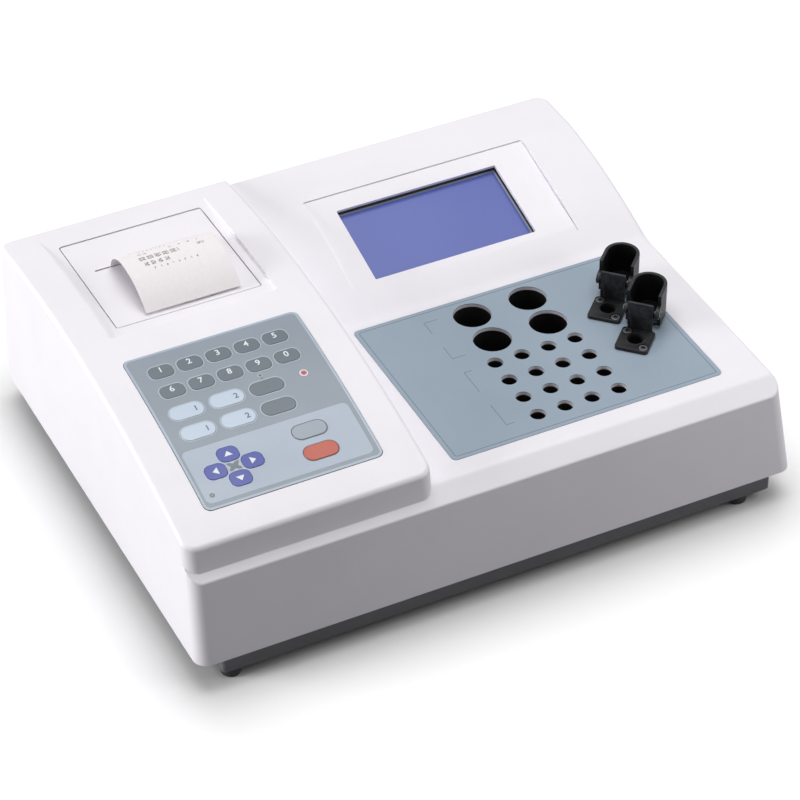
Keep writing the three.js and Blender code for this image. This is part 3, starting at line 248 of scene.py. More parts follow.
# Finish, slot, the nodes it stands for, place on the housing and the body it rides on
def finished(piece, look, slot, *nodes, place=Matrix.Identity(4), body="case", angle=35):
    only(piece)
    if look:
        piece.data.materials.clear()
        piece.data.materials.append(looks[look])
    bpy.ops.object.shade_smooth_by_angle(angle=math.radians(angle))
    modifier = piece.modifiers.new("faces", "WEIGHTED_NORMAL")
    modifier.keep_sharp = True
    bpy.ops.object.modifier_apply(modifier=modifier.name)
    moved(piece, onBody @ place)
    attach(piece, body)
    if nodes:
        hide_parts(*nodes)
    return piece


# The edge round a top face
def isRim(edge):
    if len(edge.link_faces) != 2:
        return False
    low, high = sorted(face.normal.z for face in edge.link_faces)
    return abs(low) < 0.25 and high > 0.3


# Shader helpers: a value or another node's output goes into a socket
def feed(tree, socket, value):
    if isinstance(value, bpy.types.NodeSocket):
        tree.links.new(value, socket)
    else:
        socket.default_value = value


def mathNode(tree, operation, *values):
    node = tree.nodes.new("ShaderNodeMath")
    node.operation = operation
    for socket, value in zip(node.inputs, values):
        feed(tree, socket, value)
    return node.outputs[0]


def mapped(tree, value, fromLow, fromHigh, toLow=0.0, toHigh=1.0):
    node = tree.nodes.new("ShaderNodeMapRange")
    for place, item in enumerate((value, fromLow, fromHigh, toLow, toHigh)):
        feed(tree, node.inputs[place], item)
    return node.outputs["Result"]


def mixed(tree, factor, first, second):
    node = tree.nodes.new("ShaderNodeMix")
    node.data_type = "RGBA"
    feed(tree, node.inputs[0], factor)
    feed(tree, node.inputs[6], first)
    feed(tree, node.inputs[7], second)
    return node.outputs[2]


def objectPlace(tree):
    return tree.nodes.new("ShaderNodeTexCoord").outputs["Object"]


def noise(tree, place, scale, detail, roughness=0.5):
    node = tree.nodes.new("ShaderNodeTexNoise")
    for label, value in (("Vector", place), ("Scale", scale), ("Detail", detail), ("Roughness", roughness)):
        feed(tree, node.inputs[label], value)
    return node.outputs["Fac"]


# Shader groups
def newGroup(name, inputs, *outputs):
    group = bpy.data.node_groups.new(name, "ShaderNodeTree")
    for label, kind, value in inputs:
        kind = "NodeSocket" + kind
        socket = group.interface.new_socket(name=label, in_out="INPUT", socket_type=kind)
        socket.default_value = value
    for label, kind in outputs:
        group.interface.new_socket(name=label, in_out="OUTPUT", socket_type="NodeSocket" + kind)
    return group, group.nodes.new("NodeGroupInput").outputs, group.nodes.new("NodeGroupOutput").inputs


# Fine tool texture of a moulded or coated surface: bump height and roughness
grainShape = {
    "detail": (3.0, 0.6), "pitScale": 0.6, "pitShare": 0.5,
    "broadScale": 35.0, "broadDetail": (4.0, 0.6), "broadShare": 0.7, "fineShare": 0.3,
    "range": (0.35, 0.65),
}


def makeGrainGroup():
    group, enters, leaves = newGroup(
        "surfaceGrain", [("Scale", "Float", 2500.0), ("Smooth", "Float", 0.4), ("Rough", "Float", 0.5)],
        ("Height", "Float"), ("Roughness", "Float"),
    )
    place = objectPlace(group)
    fine = noise(group, place, enters["Scale"], *grainShape["detail"])
    pits = group.nodes.new("ShaderNodeTexVoronoi")
    feed(group, pits.inputs["Vector"], place)
    feed(group, pits.inputs["Scale"], mathNode(group, "MULTIPLY", enters["Scale"], grainShape["pitScale"]))
    pitDepth = mathNode(group, "MULTIPLY", pits.outputs["Distance"], grainShape["pitShare"])
    feed(group, leaves["Height"], mathNode(group, "ADD", fine, pitDepth))
    broad = noise(group, place, grainShape["broadScale"], *grainShape["broadDetail"])
    broad = mathNode(group, "MULTIPLY", broad, grainShape["broadShare"])
    blend = mathNode(group, "ADD", broad, mathNode(group, "MULTIPLY", fine, grainShape["fineShare"]))
    roughness = mapped(group, blend, *grainShape["range"], enters["Smooth"], enters["Rough"])
    feed(group, leaves["Roughness"], roughness)
    return group


# Slight unevenness of a colour over a large surface
driftShape = {"scale": 14.0, "detail": (5.0, 0.6), "range": (0.4, 0.7)}


def makeDriftGroup():
    light, dark = (0.8, 0.8, 0.8, 1.0), (0.7, 0.7, 0.7, 1.0)
    inputs = [("Colour", "Color", light), ("Shade", "Color", dark), ("Scale", "Float", 12.0)]
    group, enters, leaves = newGroup("colourDrift", inputs, ("Colour", "Color"))
    cloud = noise(group, objectPlace(group), enters["Scale"], *driftShape["detail"])
    factor = mapped(group, cloud, *driftShape["range"])
    feed(group, leaves["Colour"], mixed(group, factor, enters["Colour"], enters["Shade"]))
    return group


# A mask that a fine noise breaks up
def brokenMask(name, amount, scale, detail, surface, low, high, breakLow, breakHigh, least):
    inputs = [("Amount", "Float", amount), ("Scale", "Float", scale)]
    group, enters, leaves = newGroup(name, inputs, ("Mask", "Float"))
    specks = noise(group, objectPlace(group), enters["Scale"], *detail)
    broken = mapped(group, specks, breakLow, breakHigh, least, 1.0)
    spread = mathNode(group, "MULTIPLY", mapped(group, surface(group), low, high), broken)
    feed(group, leaves["Mask"], mathNode(group, "MULTIPLY", spread, enters["Amount"]))
    return group


def sharpness(tree):
    return tree.nodes.new("ShaderNodeNewGeometry").outputs["Pointiness"]


def upwardness(tree):
    facing = tree.nodes.new("ShaderNodeSeparateXYZ")
    feed(tree, facing.inputs[0], tree.nodes.new("ShaderNodeNewGeometry").outputs["Normal"])
    return facing.outputs["Z"]


# Wear lies on the sharp edges, dust on what faces up
groups = {
    "grain": makeGrainGroup(),
    "drift": makeDriftGroup(),
    "wear": brokenMask("edgeWear", 0.5, 400.0, (4.0, 0.7), sharpness, 0.52, 0.6, 0.35, 0.6, 0.2),
    "dust": brokenMask("settledDust", 0.2, 900.0, (3.0, 0.7), upwardness, 0.5, 1.0, 0.55, 0.75, 0.0),
}


def useGroup(tree, name, **values):
    node = tree.nodes.new("ShaderNodeGroup")
    node.node_tree = groups[name]
    for label, value in values.items():
        node.inputs[label].default_value = value
    return node.outputs


# What each finish looks like: two screen colours, lowest and highest roughness, grain size and depth in
# millimetres, wear with its colour, dust. What a finish leaves out is as in plainFinish.
plainFinish = {
    "rough": (0.3, 0.42), "grain": 0.3, "depth": 0.006, "bump": 0.6, "specular": 0.5, "metallic": 0.0,
    "coat": 0.0, "wear": (0.0, (0, 0, 0)), "dust": 0.0, "dustColour": (150, 148, 144),
}

finishes = {
    "housingPlastic": {
        "colour": ((239, 236, 242), (235, 232, 238)), "rough": (0.42, 0.52), "grain": 0.5, "depth": 0.012,
    },
    "trayPaint": {
        "colour": ((92, 92, 96), (86, 86, 90)), "rough": (0.5, 0.66), "grain": 0.4, "depth": 0.03,
        "wear": (0.25, (110, 112, 116)), "dust": 0.1,
    },
    "footRubber": {
        "colour": ((22, 22, 24), (34, 34, 36)), "rough": (0.7, 0.9), "grain": 0.5, "depth": 0.04,
        "wear": (0.2, (60, 60, 62)), "dust": 0.1,
    },
    "workFoil": {"colour": ((148, 163, 178), (143, 158, 173)), "rough": (0.34, 0.44)},
    "foilPrintDark": {"colour": ((92, 108, 124), (84, 100, 116)), "rough": (0.4, 0.5), "depth": 0.004},
    "keypadFoil": {"colour": ((139, 149, 160), (134, 144, 155))},
    "foilPale": {"colour": ((170, 181, 196), (165, 176, 191))},
    # The pale rim band is print and partly a painted highlight along the keypad foil's edge
    "foilRimAndHighlight": {"colour": ((168, 182, 197), (162, 176, 191)), "rough": (0.22, 0.34), "depth": 0.004},
    "numberKey": {"colour": ((94, 106, 115), (89, 101, 110)), "wear": (0.15, (140, 150, 158))},
    "paleKey": {"colour": ((192, 206, 222), (186, 200, 216)), "wear": (0.1, (210, 220, 232))},
    "arrowKey": {"colour": ((58, 70, 158), (54, 66, 150)), "wear": (0.15, (110, 116, 186))},
    "menuKey": {"colour": ((152, 162, 172), (146, 156, 166)), "wear": (0.1, (176, 184, 192))},
    "enterKey": {"colour": ((184, 76, 50), (178, 71, 46)), "wear": (0.15, (214, 130, 112))},
    "whitePrint": {"colour": ((232, 236, 240), (222, 226, 232)), "rough": (0.4, 0.5), "depth": 0.004},
    "halo": {"colour": ((178, 189, 200), (172, 183, 194)), "rough": (0.26, 0.36), "depth": 0.004},
    "outline": {"colour": ((98, 106, 114), (90, 98, 106)), "rough": (0.3, 0.4), "depth": 0.004},
    "lampRed": {
        "colour": ((208, 78, 58), (196, 68, 50)), "rough": (0.12, 0.2), "coat": 0.5, "grain": 0.4,
        "depth": 0.002,
    },
    "lampGreen": {
        "colour": ((88, 112, 92), (76, 100, 82)), "rough": (0.12, 0.2), "coat": 0.5, "grain": 0.4,
        "depth": 0.002,
    },
    "thermalPrint": {"colour": ((140, 136, 139), (176, 172, 174)), "rough": (0.5, 0.65), "depth": 0.01},
    "bezelGrey": {"colour": ((168, 174, 184), (160, 166, 176))},
    "darkPrint": {"colour": ((86, 96, 108), (78, 88, 100)), "rough": (0.4, 0.5), "depth": 0.004},
    "fixtureBlack": {
        "colour": ((9, 9, 11), (11, 11, 13)), "rough": (0.36, 0.5), "specular": 0.26, "depth": 0.012,
        "wear": (0.4, (70, 72, 76)), "dust": 0.03,
    },
    "darkSteel": {
        "colour": ((96, 98, 102), (84, 86, 90)), "rough": (0.34, 0.5), "metallic": 0.9, "grain": 0.2,
        "depth": 0.008, "wear": (0.5, (150, 152, 156)),
    },
    "brightMetal": {
        "colour": ((176, 178, 182), (160, 162, 166)), "rough": (0.25, 0.4), "metallic": 0.95, "grain": 0.25,
        "depth": 0.01, "wear": (0.3, (210, 212, 214)), "dust": 0.05,
    },
    "anodisedBlock": {
        "colour": ((10, 10, 11), (16, 16, 18)), "rough": (0.4, 0.55), "depth": 0.01,
        "wear": (0.1, (60, 60, 62)), "dust": 0.05,
    },
    "heaterFoil": {
        "colour": ((176, 100, 48), (160, 88, 40)), "rough": (0.4, 0.55), "grain": 0.6, "depth": 0.01,
        "dust": 0.1,
    },
    "circuitBoard": {
        "colour": ((32, 92, 58), (26, 80, 50)), "rough": (0.35, 0.5), "grain": 0.8, "depth": 0.02,
        "wear": (0.1, (170, 150, 90)), "dust": 0.15,
    },
    "darkPlastic": {
        "colour": ((34, 35, 38), (28, 29, 32)), "rough": (0.45, 0.6), "grain": 0.5, "depth": 0.03,
        "wear": (0.25, (80, 82, 86)), "dust": 0.15,
    },
    "displayBlack": {"colour": ((6, 6, 7), (10, 10, 11)), "rough": (0.5, 0.7), "grain": 0.4, "depth": 0.01},
    "platenRubber": {
        "colour": ((30, 30, 33), (40, 40, 43)), "rough": (0.7, 0.85), "grain": 0.4, "depth": 0.03,
        "wear": (0.1, (70, 70, 72)), "dust": 0.1,
    },
}


def newMaterial(name):
    material = bpy.data.materials.new(name)
    material.use_nodes = True
    return material, material.node_tree, material.node_tree.nodes["Principled BSDF"]


def addBump(tree, shader, height, strength, depth):
    bump = tree.nodes.new("ShaderNodeBump")
    bump.inputs["Strength"].default_value = strength
    bump.inputs["Distance"].default_value = depth * millimetre
    tree.links.new(height, bump.inputs["Height"])
    tree.links.new(bump.outputs["Normal"], shader.inputs["Normal"])


def makeMaterial(name, ownValues):
    values = {**plainFinish, **ownValues}
    material, tree, shader = newMaterial(name)
    main, shade = (fromScreen(*tone) for tone in values["colour"])
    colour = useGroup(tree, "drift", Colour=main, Shade=shade, Scale=driftShape["scale"])["Colour"]
    effects = (("wear", *values["wear"]), ("dust", values["dust"], values["dustColour"]))
    for effect, amount, tone in effects:
        if amount:
            mask = useGroup(tree, effect, Amount=amount)["Mask"]
            colour = mixed(tree, mask, colour, fromScreen(*tone))
    tree.links.new(colour, shader.inputs["Base Color"])
    smooth, rough = values["rough"]
    grain = useGroup(tree, "grain", Scale=1 / (values["grain"] * millimetre), Smooth=smooth, Rough=rough)
    tree.links.new(grain["Roughness"], shader.inputs["Roughness"])
    addBump(tree, shader, grain["Height"], values["bump"], values["depth"])
    shader.inputs["Metallic"].default_value = values["metallic"]
    shader.inputs["Specular IOR Level"].default_value = values["specular"]
    shader.inputs["Coat Weight"].default_value = values["coat"]
    return material


looks = {name: makeMaterial(name, values) for name, values in finishes.items()}


# Backlit display: a soft cloud in the glow, with a faint dot raster
glow = {
    "deep": (66, 79, 147), "light": (71, 84, 151), "cloudScale": 9.0, "cloudRange": (0.35, 0.65),
    "dot": (90, 98, 160), "dotScale": 2000.0, "dotRange": (0.2, 0.6), "dotShare": 0.06,
    "shader": {
        "Emission Strength": 0.35, "Roughness": 0.3, "Specular IOR Level": 0.3,
        "Coat Weight": 0.15, "Coat Roughness": 0.1,
    },
}


def makeDisplayGlow():
    material, tree, shader = newMaterial("displayGlow")
    place = objectPlace(tree)
    cloud = mapped(tree, noise(tree, place, glow["cloudScale"], 2.0), *glow["cloudRange"])
    tone = mixed(tree, cloud, fromScreen(*glow["deep"]), fromScreen(*glow["light"]))
    raster = tree.nodes.new("ShaderNodeTexVoronoi")
    for label, value in (("Vector", place), ("Scale", glow["dotScale"]), ("Randomness", 0.0)):
        feed(tree, raster.inputs[label], value)
    dots = mapped(tree, raster.outputs["Distance"], *glow["dotRange"], 0.0, glow["dotShare"])
    tone = mixed(tree, dots, tone, fromScreen(*glow["dot"]))
    tree.links.new(tone, shader.inputs["Base Color"])
    tree.links.new(tone, shader.inputs["Emission Color"])
    for label, value in glow["shader"].items():
        shader.inputs[label].default_value = value
    return material


# Thermal paper: smooth coated sheet with a few fibres
paperLook = {
    "pale": (243, 238, 239), "deep": (237, 231, 233), "fibreScale": 700.0, "fibreDetail": (6.0, 0.7),
    "fibreStretch": (1.0, 0.25, 1.0), "range": (0.3, 0.7), "roughness": (0.62, 0.8),
    "bump": 0.25, "depth": 0.03,
}


def makePaper():
    material, tree, shader = newMaterial("thermalPaper")
    stretch = tree.nodes.new("ShaderNodeMapping")
    stretch.inputs["Scale"].default_value = paperLook["fibreStretch"]
    tree.links.new(objectPlace(tree), stretch.inputs["Vector"])
    fibres = noise(tree, stretch.outputs["Vector"], paperLook["fibreScale"], *paperLook["fibreDetail"])
    pale, deep = fromScreen(*paperLook["pale"]), fromScreen(*paperLook["deep"])
    tone = mixed(tree, mapped(tree, fibres, *paperLook["range"]), pale, deep)
    tree.links.new(tone, shader.inputs["Base Color"])
    roughness = mapped(tree, fibres, *paperLook["range"], *paperLook["roughness"])
    tree.links.new(roughness, shader.inputs["Roughness"])
    addBump(tree, shader, fibres, paperLook["bump"], paperLook["depth"])
    return material


looks["displayGlow"] = makeDisplayGlow()
looks["paper"] = makePaper()
print("materials made")


# Housing

housing = {
    "width": 355.0, "depth": 278.4, "wall": 3.0, "corner": 8.0, "deckHeight": 58.0, "cavityFloor": -6,
    "leanLeft": 0.022, "leanRight": 0.12, "leanFront": 0.12, "leanRear": 0.04,
    "rimFillet": 2.2, "bandFillet": 0.8, "bandEnd": 9.2, "cornerSegments": 8, "filletSegments": 4,
    "bossX": (7.5, 345), "bossY": (20, 258), "bossRadius": 4, "bossFoot": 2.5,
}

# Side view of the right-hand part, front to back: band, deck, rise to the display, flat top
sideView = {
    "bandFoot": (6.1, 50.8), "bandTop": (17.3, 58.0), "bandRound": 1.9,
    "bandStart": 15.4, "bandStop": 19.6,
    "foot": ((151.1, 58.0), (154.6, 58.0), (158.0, 59.63)),
    "rise": ((158.0, 59.63), (196.4, 79.2), (238.0, 84.6)),
    "crest": ((238.0, 84.6), (241.0, 85.0), (244.0, 85.0)),
    "steps": (4, 5, 40, 4),
}

# How far cutting tools reach past what they cut, and the height between which blocks are drawn
beyond, farBeyond = 4, 12
lowest, ceiling = -20, 105.0

console = {
    "width": 143.8, "front": 4.52, "crestY": 188.0, "crestZ": 95.0, "crestRadius": 600.0, "rimFillet": 2.2,
    "slices": 25, "firstSlice": 21.0, "lastSlice": 262.0, "foot": 5,
    "sheetSteps": 14, "sheetLow": 40, "sheetHigh": 120, "sheetMargin": 5,
}

keypad = {
    "area": (21.0, 30.6, 122.0, 140.6), "corner": 4.0,
    "pocketDepth": 2.0, "proud": 0.2, "gap": 0.3, "foilBottom": -1.3, "foilEdge": 0.12,
}

workArea = {
    "area": (159.9, 27.6, 323.6, 150.6), "corner": 3.0,
    "thickness": 0.5, "proud": 0.2, "gap": 0.25, "foilEdge": 0.12, "drill": (52, 62),
    "sampleRadius": 4.425, "sampleFirst": (217.7, 42.1), "samplePitch": 16.43, "samplesPerSide": 4,
    "reagentRadius": 10.75, "reagentFirst": (225.8, 110.3), "reagentPitch": (34.65, 24.1),
}

channels = {
    "x": 294.4, "firstY": 73.2, "pitch": 30.7, "turn": -math.pi / 4,
    "holeRadius": 4.55, "screwSpots": ((6.2, -6.2), (-6.2, 6.2)), "screwRadius": 1.6,
}

display = {
    "tilt": 0.2628, "planeZ": 20.0,
    "area": (171.5, 174.0, 311.5, 247.8), "crease": 178.6, "corner": 1.5,
    "window": (187.9, 183.8, 288.7, 236.7), "windowMargin": 0.12, "frameDrop": 1.2,
    "padThickness": 3.0, "padMargin": 4.0,
    "groove": 0.6, "sideGroove": 0.4, "grooveEdge": 0.05, "grooveDepth": 0.9,
    "fallInset": 0.6, "fallRear": 0.3, "fallLift": 0.01, "openingDepth": 8, "openingCorner": 0.6,
}

printer = {
    "tilt": -0.028, "rearY": 262.0, "rearZ": 90.4,
    "area": (23.0, -101.0, 120.9, 0.0), "corner": 3.0, "rimFillet": 0.9,
    "lid": (30.8, -92.6, 115.0, -9.1), "lidThickness": 1.8, "lidEdge": 0.3, "lidCorner": 1.2,
    "gap": 0.6, "rearGap": 1.0, "hatchDepth": 7, "padThickness": 2.5, "padMargin": 3.0,
    "slotLeft": 40.0, "slotRight": 112.0, "slotV": -38.4, "slotWidth": 1.5,
    "slotTeeth": 60, "toothDepth": 0.45,
    "lugs": (38.6, 103.2), "lugWidth": 4, "lugRadius": 1.9, "lugTop": -0.9, "hinge": (-15.0, -3.2),
}

fittings = {
    "faceY": 275.0, "bodyY": 267.0, "gap": 0.3, "corner": 2.0, "bodyCorner": 0.3,
    "mainsPad": (23, 272, 96.5, 284, 11, 41), "serialPad": (199, 272, 261, 284, 2.5, 24.6),
    "inlet": {"x": 78.0, "z": 26.0, "flange": (31.0, 24.0), "body": (27.0, 19.5)},
    "switch": {"x": 44.0, "z": 26.0, "flange": (21.0, 15.0), "body": (18.0, 12.0)},
    "serial": {"x": 230.0, "z": 12.0, "flange": (31.0, 12.6), "body": (17.0, 8.4)},
}

onDisplay = turned(0, 0, display["planeZ"], aboutX=display["tilt"])
onPrinter = turned(0, printer["rearY"], printer["rearZ"], aboutX=printer["tilt"])
deckTop = housing["deckHeight"] + workArea["proud"]
channelY = (channels["firstY"], channels["firstY"] + channels["pitch"])
onChannel = [turned(channels["x"], y, deckTop, aboutZ=channels["turn"]) for y in channelY]


def consoleTop(y):
    return console["crestZ"] - (y - console["crestY"]) ** 2 / (2 * console["crestRadius"])


def consoleSlope(y):
    return math.atan((console["crestY"] - y) / console["crestRadius"])


def beforeLean(y, z):
    spread = (housing["leanFront"] + housing["leanRear"]) * z / housing["depth"]
    return (y - housing["leanFront"] * z) / (1 - spread)


# The walls lean inwards, so blocks are modelled with upright walls and leaned afterwards
def lean(piece):
    for vert in piece.data.vertices:
        x, y, z = vert.co
        leanX = housing["leanLeft"] - (housing["leanLeft"] + housing["leanRight"]) * x / housing["width"]
        leanY = housing["leanFront"] - (housing["leanFront"] + housing["leanRear"]) * y / housing["depth"]
        vert.co = (x + z * leanX, y + z * leanY, z)
    return piece


def bend(start, middle, end, steps):
    points = []
    for i in range(1, steps + 1):
        t = i / steps
        points.append(tuple(
            a * (1 - t) ** 2 + b * 2 * t * (1 - t) + c * t ** 2 for a, b, c in zip(start, middle, end)
        ))
    return points


# The side view, sunk by the wall for the inside
def deckLine(sink):
    (footY, footZ), (topY, topZ) = sideView["bandFoot"], sideView["bandTop"]
    rise = (topZ - footZ) / (topY - footY)
    start = (sideView["bandStart"], topZ - sideView["bandRound"] * rise)
    points = [(footY - beyond, footZ - beyond * rise), start]
    front = (start, (topY, topZ), (sideView["bandStop"], topZ))
    curves = (front, sideView["foot"], sideView["rise"], sideView["crest"])
    for curve, steps in zip(curves, sideView["steps"]):
        if curve is sideView["foot"]:
            points.append(curve[0])
        points += bend(*curve, steps)
    points.append((housing["depth"] + beyond, points[-1][1]))
    sunk = []
    for i, (y, z) in enumerate(points):
        before = Vector(points[max(i - 1, 0)])
        after = Vector(points[min(i + 1, len(points) - 1)])
        along = (after - before).normalized()
        sunk.append((y + along.y * sink, z - along.x * sink))
    return sunk


def beneath(line, floor):
    leanFree = [(beforeLean(y, z), z) for y, z in line]
    return [(leanFree[0][0], floor), *leanFree, (leanFree[-1][0], floor)]


# The front band keeps a crisp lower edge
def isBandRim(edge):
    return isRim(edge) and all(vert.co.y < housing["bandEnd"] for vert in edge.verts)


def isMainRim(edge):
    return isRim(edge) and not isBandRim(edge)


# The front of the step down to the printer, with its two corners
def isRecessRim(edge):
    if not isRim(edge):
        return False
    left, front, right, rear = printer["area"]
    for vert in edge.verts:
        x, v, w = onPrinter.inverted() @ vert.co
        across = left - 0.1 < x < right + 0.1
        along = -0.1 < v - front < printer["corner"] + 0.1
        if w < 0.6 or not (across and along):
            return False
    return True


# The outer shape of the case or, inset by the wall, its inside
def caseVolume(inset, floor, filleted):
    width, depth = housing["width"], housing["depth"]
    corner, segments = housing["corner"] - inset, housing["cornerSegments"]
    area = grown((0, 0, width, depth), -inset)
    deck = slab("deckBlock", *area, floor, ceiling, corner, segments)
    profile = beneath(deckLine(inset), lowest)
    combine(deck, "INTERSECT", prism("deckShape", profile, -beyond, width + beyond))
    first, last, count = console["firstSlice"], console["lastSlice"], console["slices"]
    slices = [first + (last - first) * i / count for i in range(count + 1)]
    arc = [(y, consoleTop(y) - inset) for y in (-beyond, *slices, depth + beyond)]

    # The rear right corner of the console runs into the rear wall, so it stays square
    def roundCorner(vert):
        return vert.co.x < 100 or vert.co.y < 100

    area = grown((0, console["front"], console["width"], depth), -inset)
    raised = slab(
        "consoleBlock", *area, floor + console["foot"], ceiling, corner, segments, rounded=roundCorner,
    )
    profile = beneath(arc, lowest)
    combine(raised, "INTERSECT", prism("consoleShape", profile, -beyond, console["width"] + beyond))
    if filleted:
        bevelEdges(deck, housing["rimFillet"], housing["filletSegments"], isMainRim)
        bevelEdges(deck, housing["bandFillet"], 3, isBandRim)
        bevelEdges(raised, console["rimFillet"], housing["filletSegments"], isRim)
    combine(deck, "UNION", raised)
    return lean(deck)


# A curved sheet that follows the console, between two heights above it
def consoleSheet(name, area, corner, low, high, segments=6):
    left, front, right, rear = area
    steps, margin = console["sheetSteps"], console["sheetMargin"]
    lower, upper = [], []
    for i in range(-1, steps + 2):
        y = front + (rear - front) * i / steps
        lower.append((y, consoleTop(y) + low))
        upper.insert(0, (y, consoleTop(y) + high))
    column = slab(name, *area, console["sheetLow"], console["sheetHigh"], corner, segments)
    return combine(column, "INTERSECT", prism(name + "Arc", lower + upper, left - margin, right + margin))


def sampleWells():
    x, y = workArea["sampleFirst"]
    steps = [i * workArea["samplePitch"] for i in range(workArea["samplesPerSide"])]
    return [(x + across, y + along) for along in steps for across in steps]


def reagentWells():
    x, y = workArea["reagentFirst"]
    stepX, stepY = workArea["reagentPitch"]
    return [(x + i * stepX, y + j * stepY) for j in range(2) for i in range(2)]


def wellTools(bottom, top):
    tools = [rod("tool", x, y, bottom, top, workArea["sampleRadius"], 36) for x, y in sampleWells()]
    tools += [rod("tool", x, y, bottom, top, workArea["reagentRadius"], 56) for x, y in reagentWells()]
    height = (bottom - deckTop, top - deckTop)
    for place in onChannel:
        tools.append(moved(rod("tool", 0, 0, *height, channels["holeRadius"], 36), place))
        for spot in channels["screwSpots"]:
            tools.append(moved(rod("tool", *spot, *height, channels["screwRadius"], 20), place))
    return joined(*tools)


def throughWall(fitting):
    tools = []
    for (width, height), start, corner in (
        (fitting["flange"], fittings["faceY"], fittings["corner"]),
        (fitting["body"], fittings["bodyY"], fittings["bodyCorner"]),
    ):
        tool = slab("tool", *grown(centred(width, height), fittings["gap"]), 0, farBeyond, corner)
        tools.append(moved(tool, turned(fitting["x"], start, fitting["z"], aboutX=-math.pi / 2)))
    return tools


# A box under an opening, flush with its rear, that stays solid inside the case
def pad(values, place):
    area = values["area"]
    edges = (*grown(area, values["padMargin"])[:3], area[3])
    return moved(slab("tool", *edges, -values["padThickness"], farBeyond), place)


# The display sits in a frame whose four faces fall towards the window
def cutDisplay(shell):
    left, front, right, rear = display["area"]
    tools = [slab("tool", *display["area"], 0, farBeyond, display["corner"], 4)]
    inset, lift, drop = display["fallInset"], display["fallLift"], display["frameDrop"]
    crease = display["crease"]
    fall = slab("tool", left + inset, crease, right - inset, rear - display["fallRear"], lift, drop + lift)
    windowLeft, windowFront, windowRight, windowRear = grown(display["window"], display["windowMargin"])
    for vert in fall.data.vertices:
        low = vert.co.z < drop / 2
        vert.co.z -= drop
        if low:
            vert.co.x = windowRight if vert.co.x > (left + right) / 2 else windowLeft
            vert.co.y = windowRear if vert.co.y > (crease + rear) / 2 else windowFront
    tools.append(fall)
    edge, depth = display["grooveEdge"], display["grooveDepth"]
    tools += [
        slab("tool", left + 1, rear - display["groove"], right - 1, rear - edge, -depth, 3),
        slab("tool", right - display["sideGroove"], front + 1.5, right - edge, rear - 1, -depth, 3),
        slab("tool", *display["window"], -display["openingDepth"], beyond, display["openingCorner"], 3),
    ]
    cut(shell, *[moved(tool, onDisplay) for tool in tools])


def cutPrinter(shell):
    bay = slab("tool", *printer["area"][:3], beyond, 0, farBeyond, printer["corner"], 6)
    cut(shell, moved(bay, onPrinter))
    bevelEdges(shell, printer["rimFillet"], 4, isRecessRim)
    gap = printer["gap"]
    edges = (*grown(printer["lid"], gap)[:3], printer["lid"][3] + printer["rearGap"])
    hatch = slab("tool", *edges, -printer["hatchDepth"], beyond, printer["lidCorner"] + gap, 4)
    cut(shell, moved(hatch, onPrinter))


def makeHousing():
    shell = caseVolume(0, 0, True)
    cavity = caseVolume(housing["wall"], housing["cavityFloor"], False)
    bosses = [
        rod("tool", x, y, housing["bossFoot"], console["sheetHigh"], housing["bossRadius"], 24)
        for x in housing["bossX"] for y in housing["bossY"]
    ]
    fittingPads = [slab("tool", *fittings[key]) for key in ("mainsPad", "serialPad")]
    cut(cavity, *bosses, pad(display, onDisplay), pad(printer, onPrinter), *fittingPads)
    cut(shell, cavity)
    cut(shell, consoleSheet("tool", keypad["area"], keypad["corner"], -keypad["pocketDepth"], 6))
    seat = deckTop - workArea["thickness"]
    cut(shell, slab("tool", *workArea["area"], seat, deckTop + beyond, workArea["corner"]))
    cutDisplay(shell)
    cutPrinter(shell)
    for name in ("inlet", "switch", "serial"):
        cut(shell, *throughWall(fittings[name]))
    cut(shell, wellTools(*workArea["drill"]))
    named(shell, "housingShell")
    finished(shell, "housingPlastic", "housing_plastic", "top_housing", angle=32)


makeHousing()
print("housing made")


# Base tray with the flange that closes the housing

tray = {
    "area": (15.0, 4.2, 343.6, 271.0), "depth": 13.0, "wall": 2.0, "corner": 2.4,
    "top": 1.2, "foldRadius": 0.5, "flangeInset": 3.3, "flangeTop": 2.5, "flangeCorner": 5,
}


def makeTray():
    pan = slab("baseTray", *tray["area"], -tray["depth"], tray["top"], tray["corner"], 8)

    def isFold(edge):
        return all(abs(vert.co.z + tray["depth"]) < 0.01 for vert in edge.verts)

    bevelEdges(pan, tray["foldRadius"], 4, isFold)
    area = grown((0, 0, housing["width"], housing["depth"]), -tray["flangeInset"])
    combine(pan, "UNION", lean(slab("flange", *area, 0, tray["flangeTop"], tray["flangeCorner"], 6)))
    wall = tray["wall"]
    inside = slab(
        "tool", *grown(tray["area"], -wall), wall - tray["depth"], farBeyond, tray["corner"] - wall, 8,
    )
    cut(pan, inside)
    finished(pan, "trayPaint", "tray_paint", "base_tray")


makeTray()


# Feet: tapered round pads with a rounded sole

feet = {"radius": 6.25, "height": 6.0, "taper": 0.8, "edge": 0.9, "x": (22.0, 326.4), "y": (10.75, 262.0)}


def makeFeet():
    top = -tray["depth"]
    pattern = rod("foot", 0, 0, top - feet["height"], top, feet["radius"], 40)

    def isSole(vert):
        return vert.co.z < top - 1

    def isSoleEdge(edge):
        return all(isSole(vert) for vert in edge.verts)

    select(pattern, "VERT", isSole)
    shrink = 1 - feet["taper"] / feet["radius"]
    bpy.ops.transform.resize(value=(shrink, shrink, 1), center_override=(0, 0, top - feet["height"]))
    leaveEdit()
    bevelEdges(pattern, feet["edge"], 4, isSoleEdge)
    for side, x in zip(("left", "right"), feet["x"]):
        for end, y in zip(("front", "rear"), feet["y"]):
            foot = moved(copyOf(pattern, f"foot_{end}_{side}"), Matrix.Translation((x, y, 0)))
            finished(foot, "footRubber", "foot_rubber", f"rubber_foot_{end}_{side}")
    removed(pattern)


makeFeet()
print("tray and feet made")


# Work area foil, its printed border and the brackets beside the wells

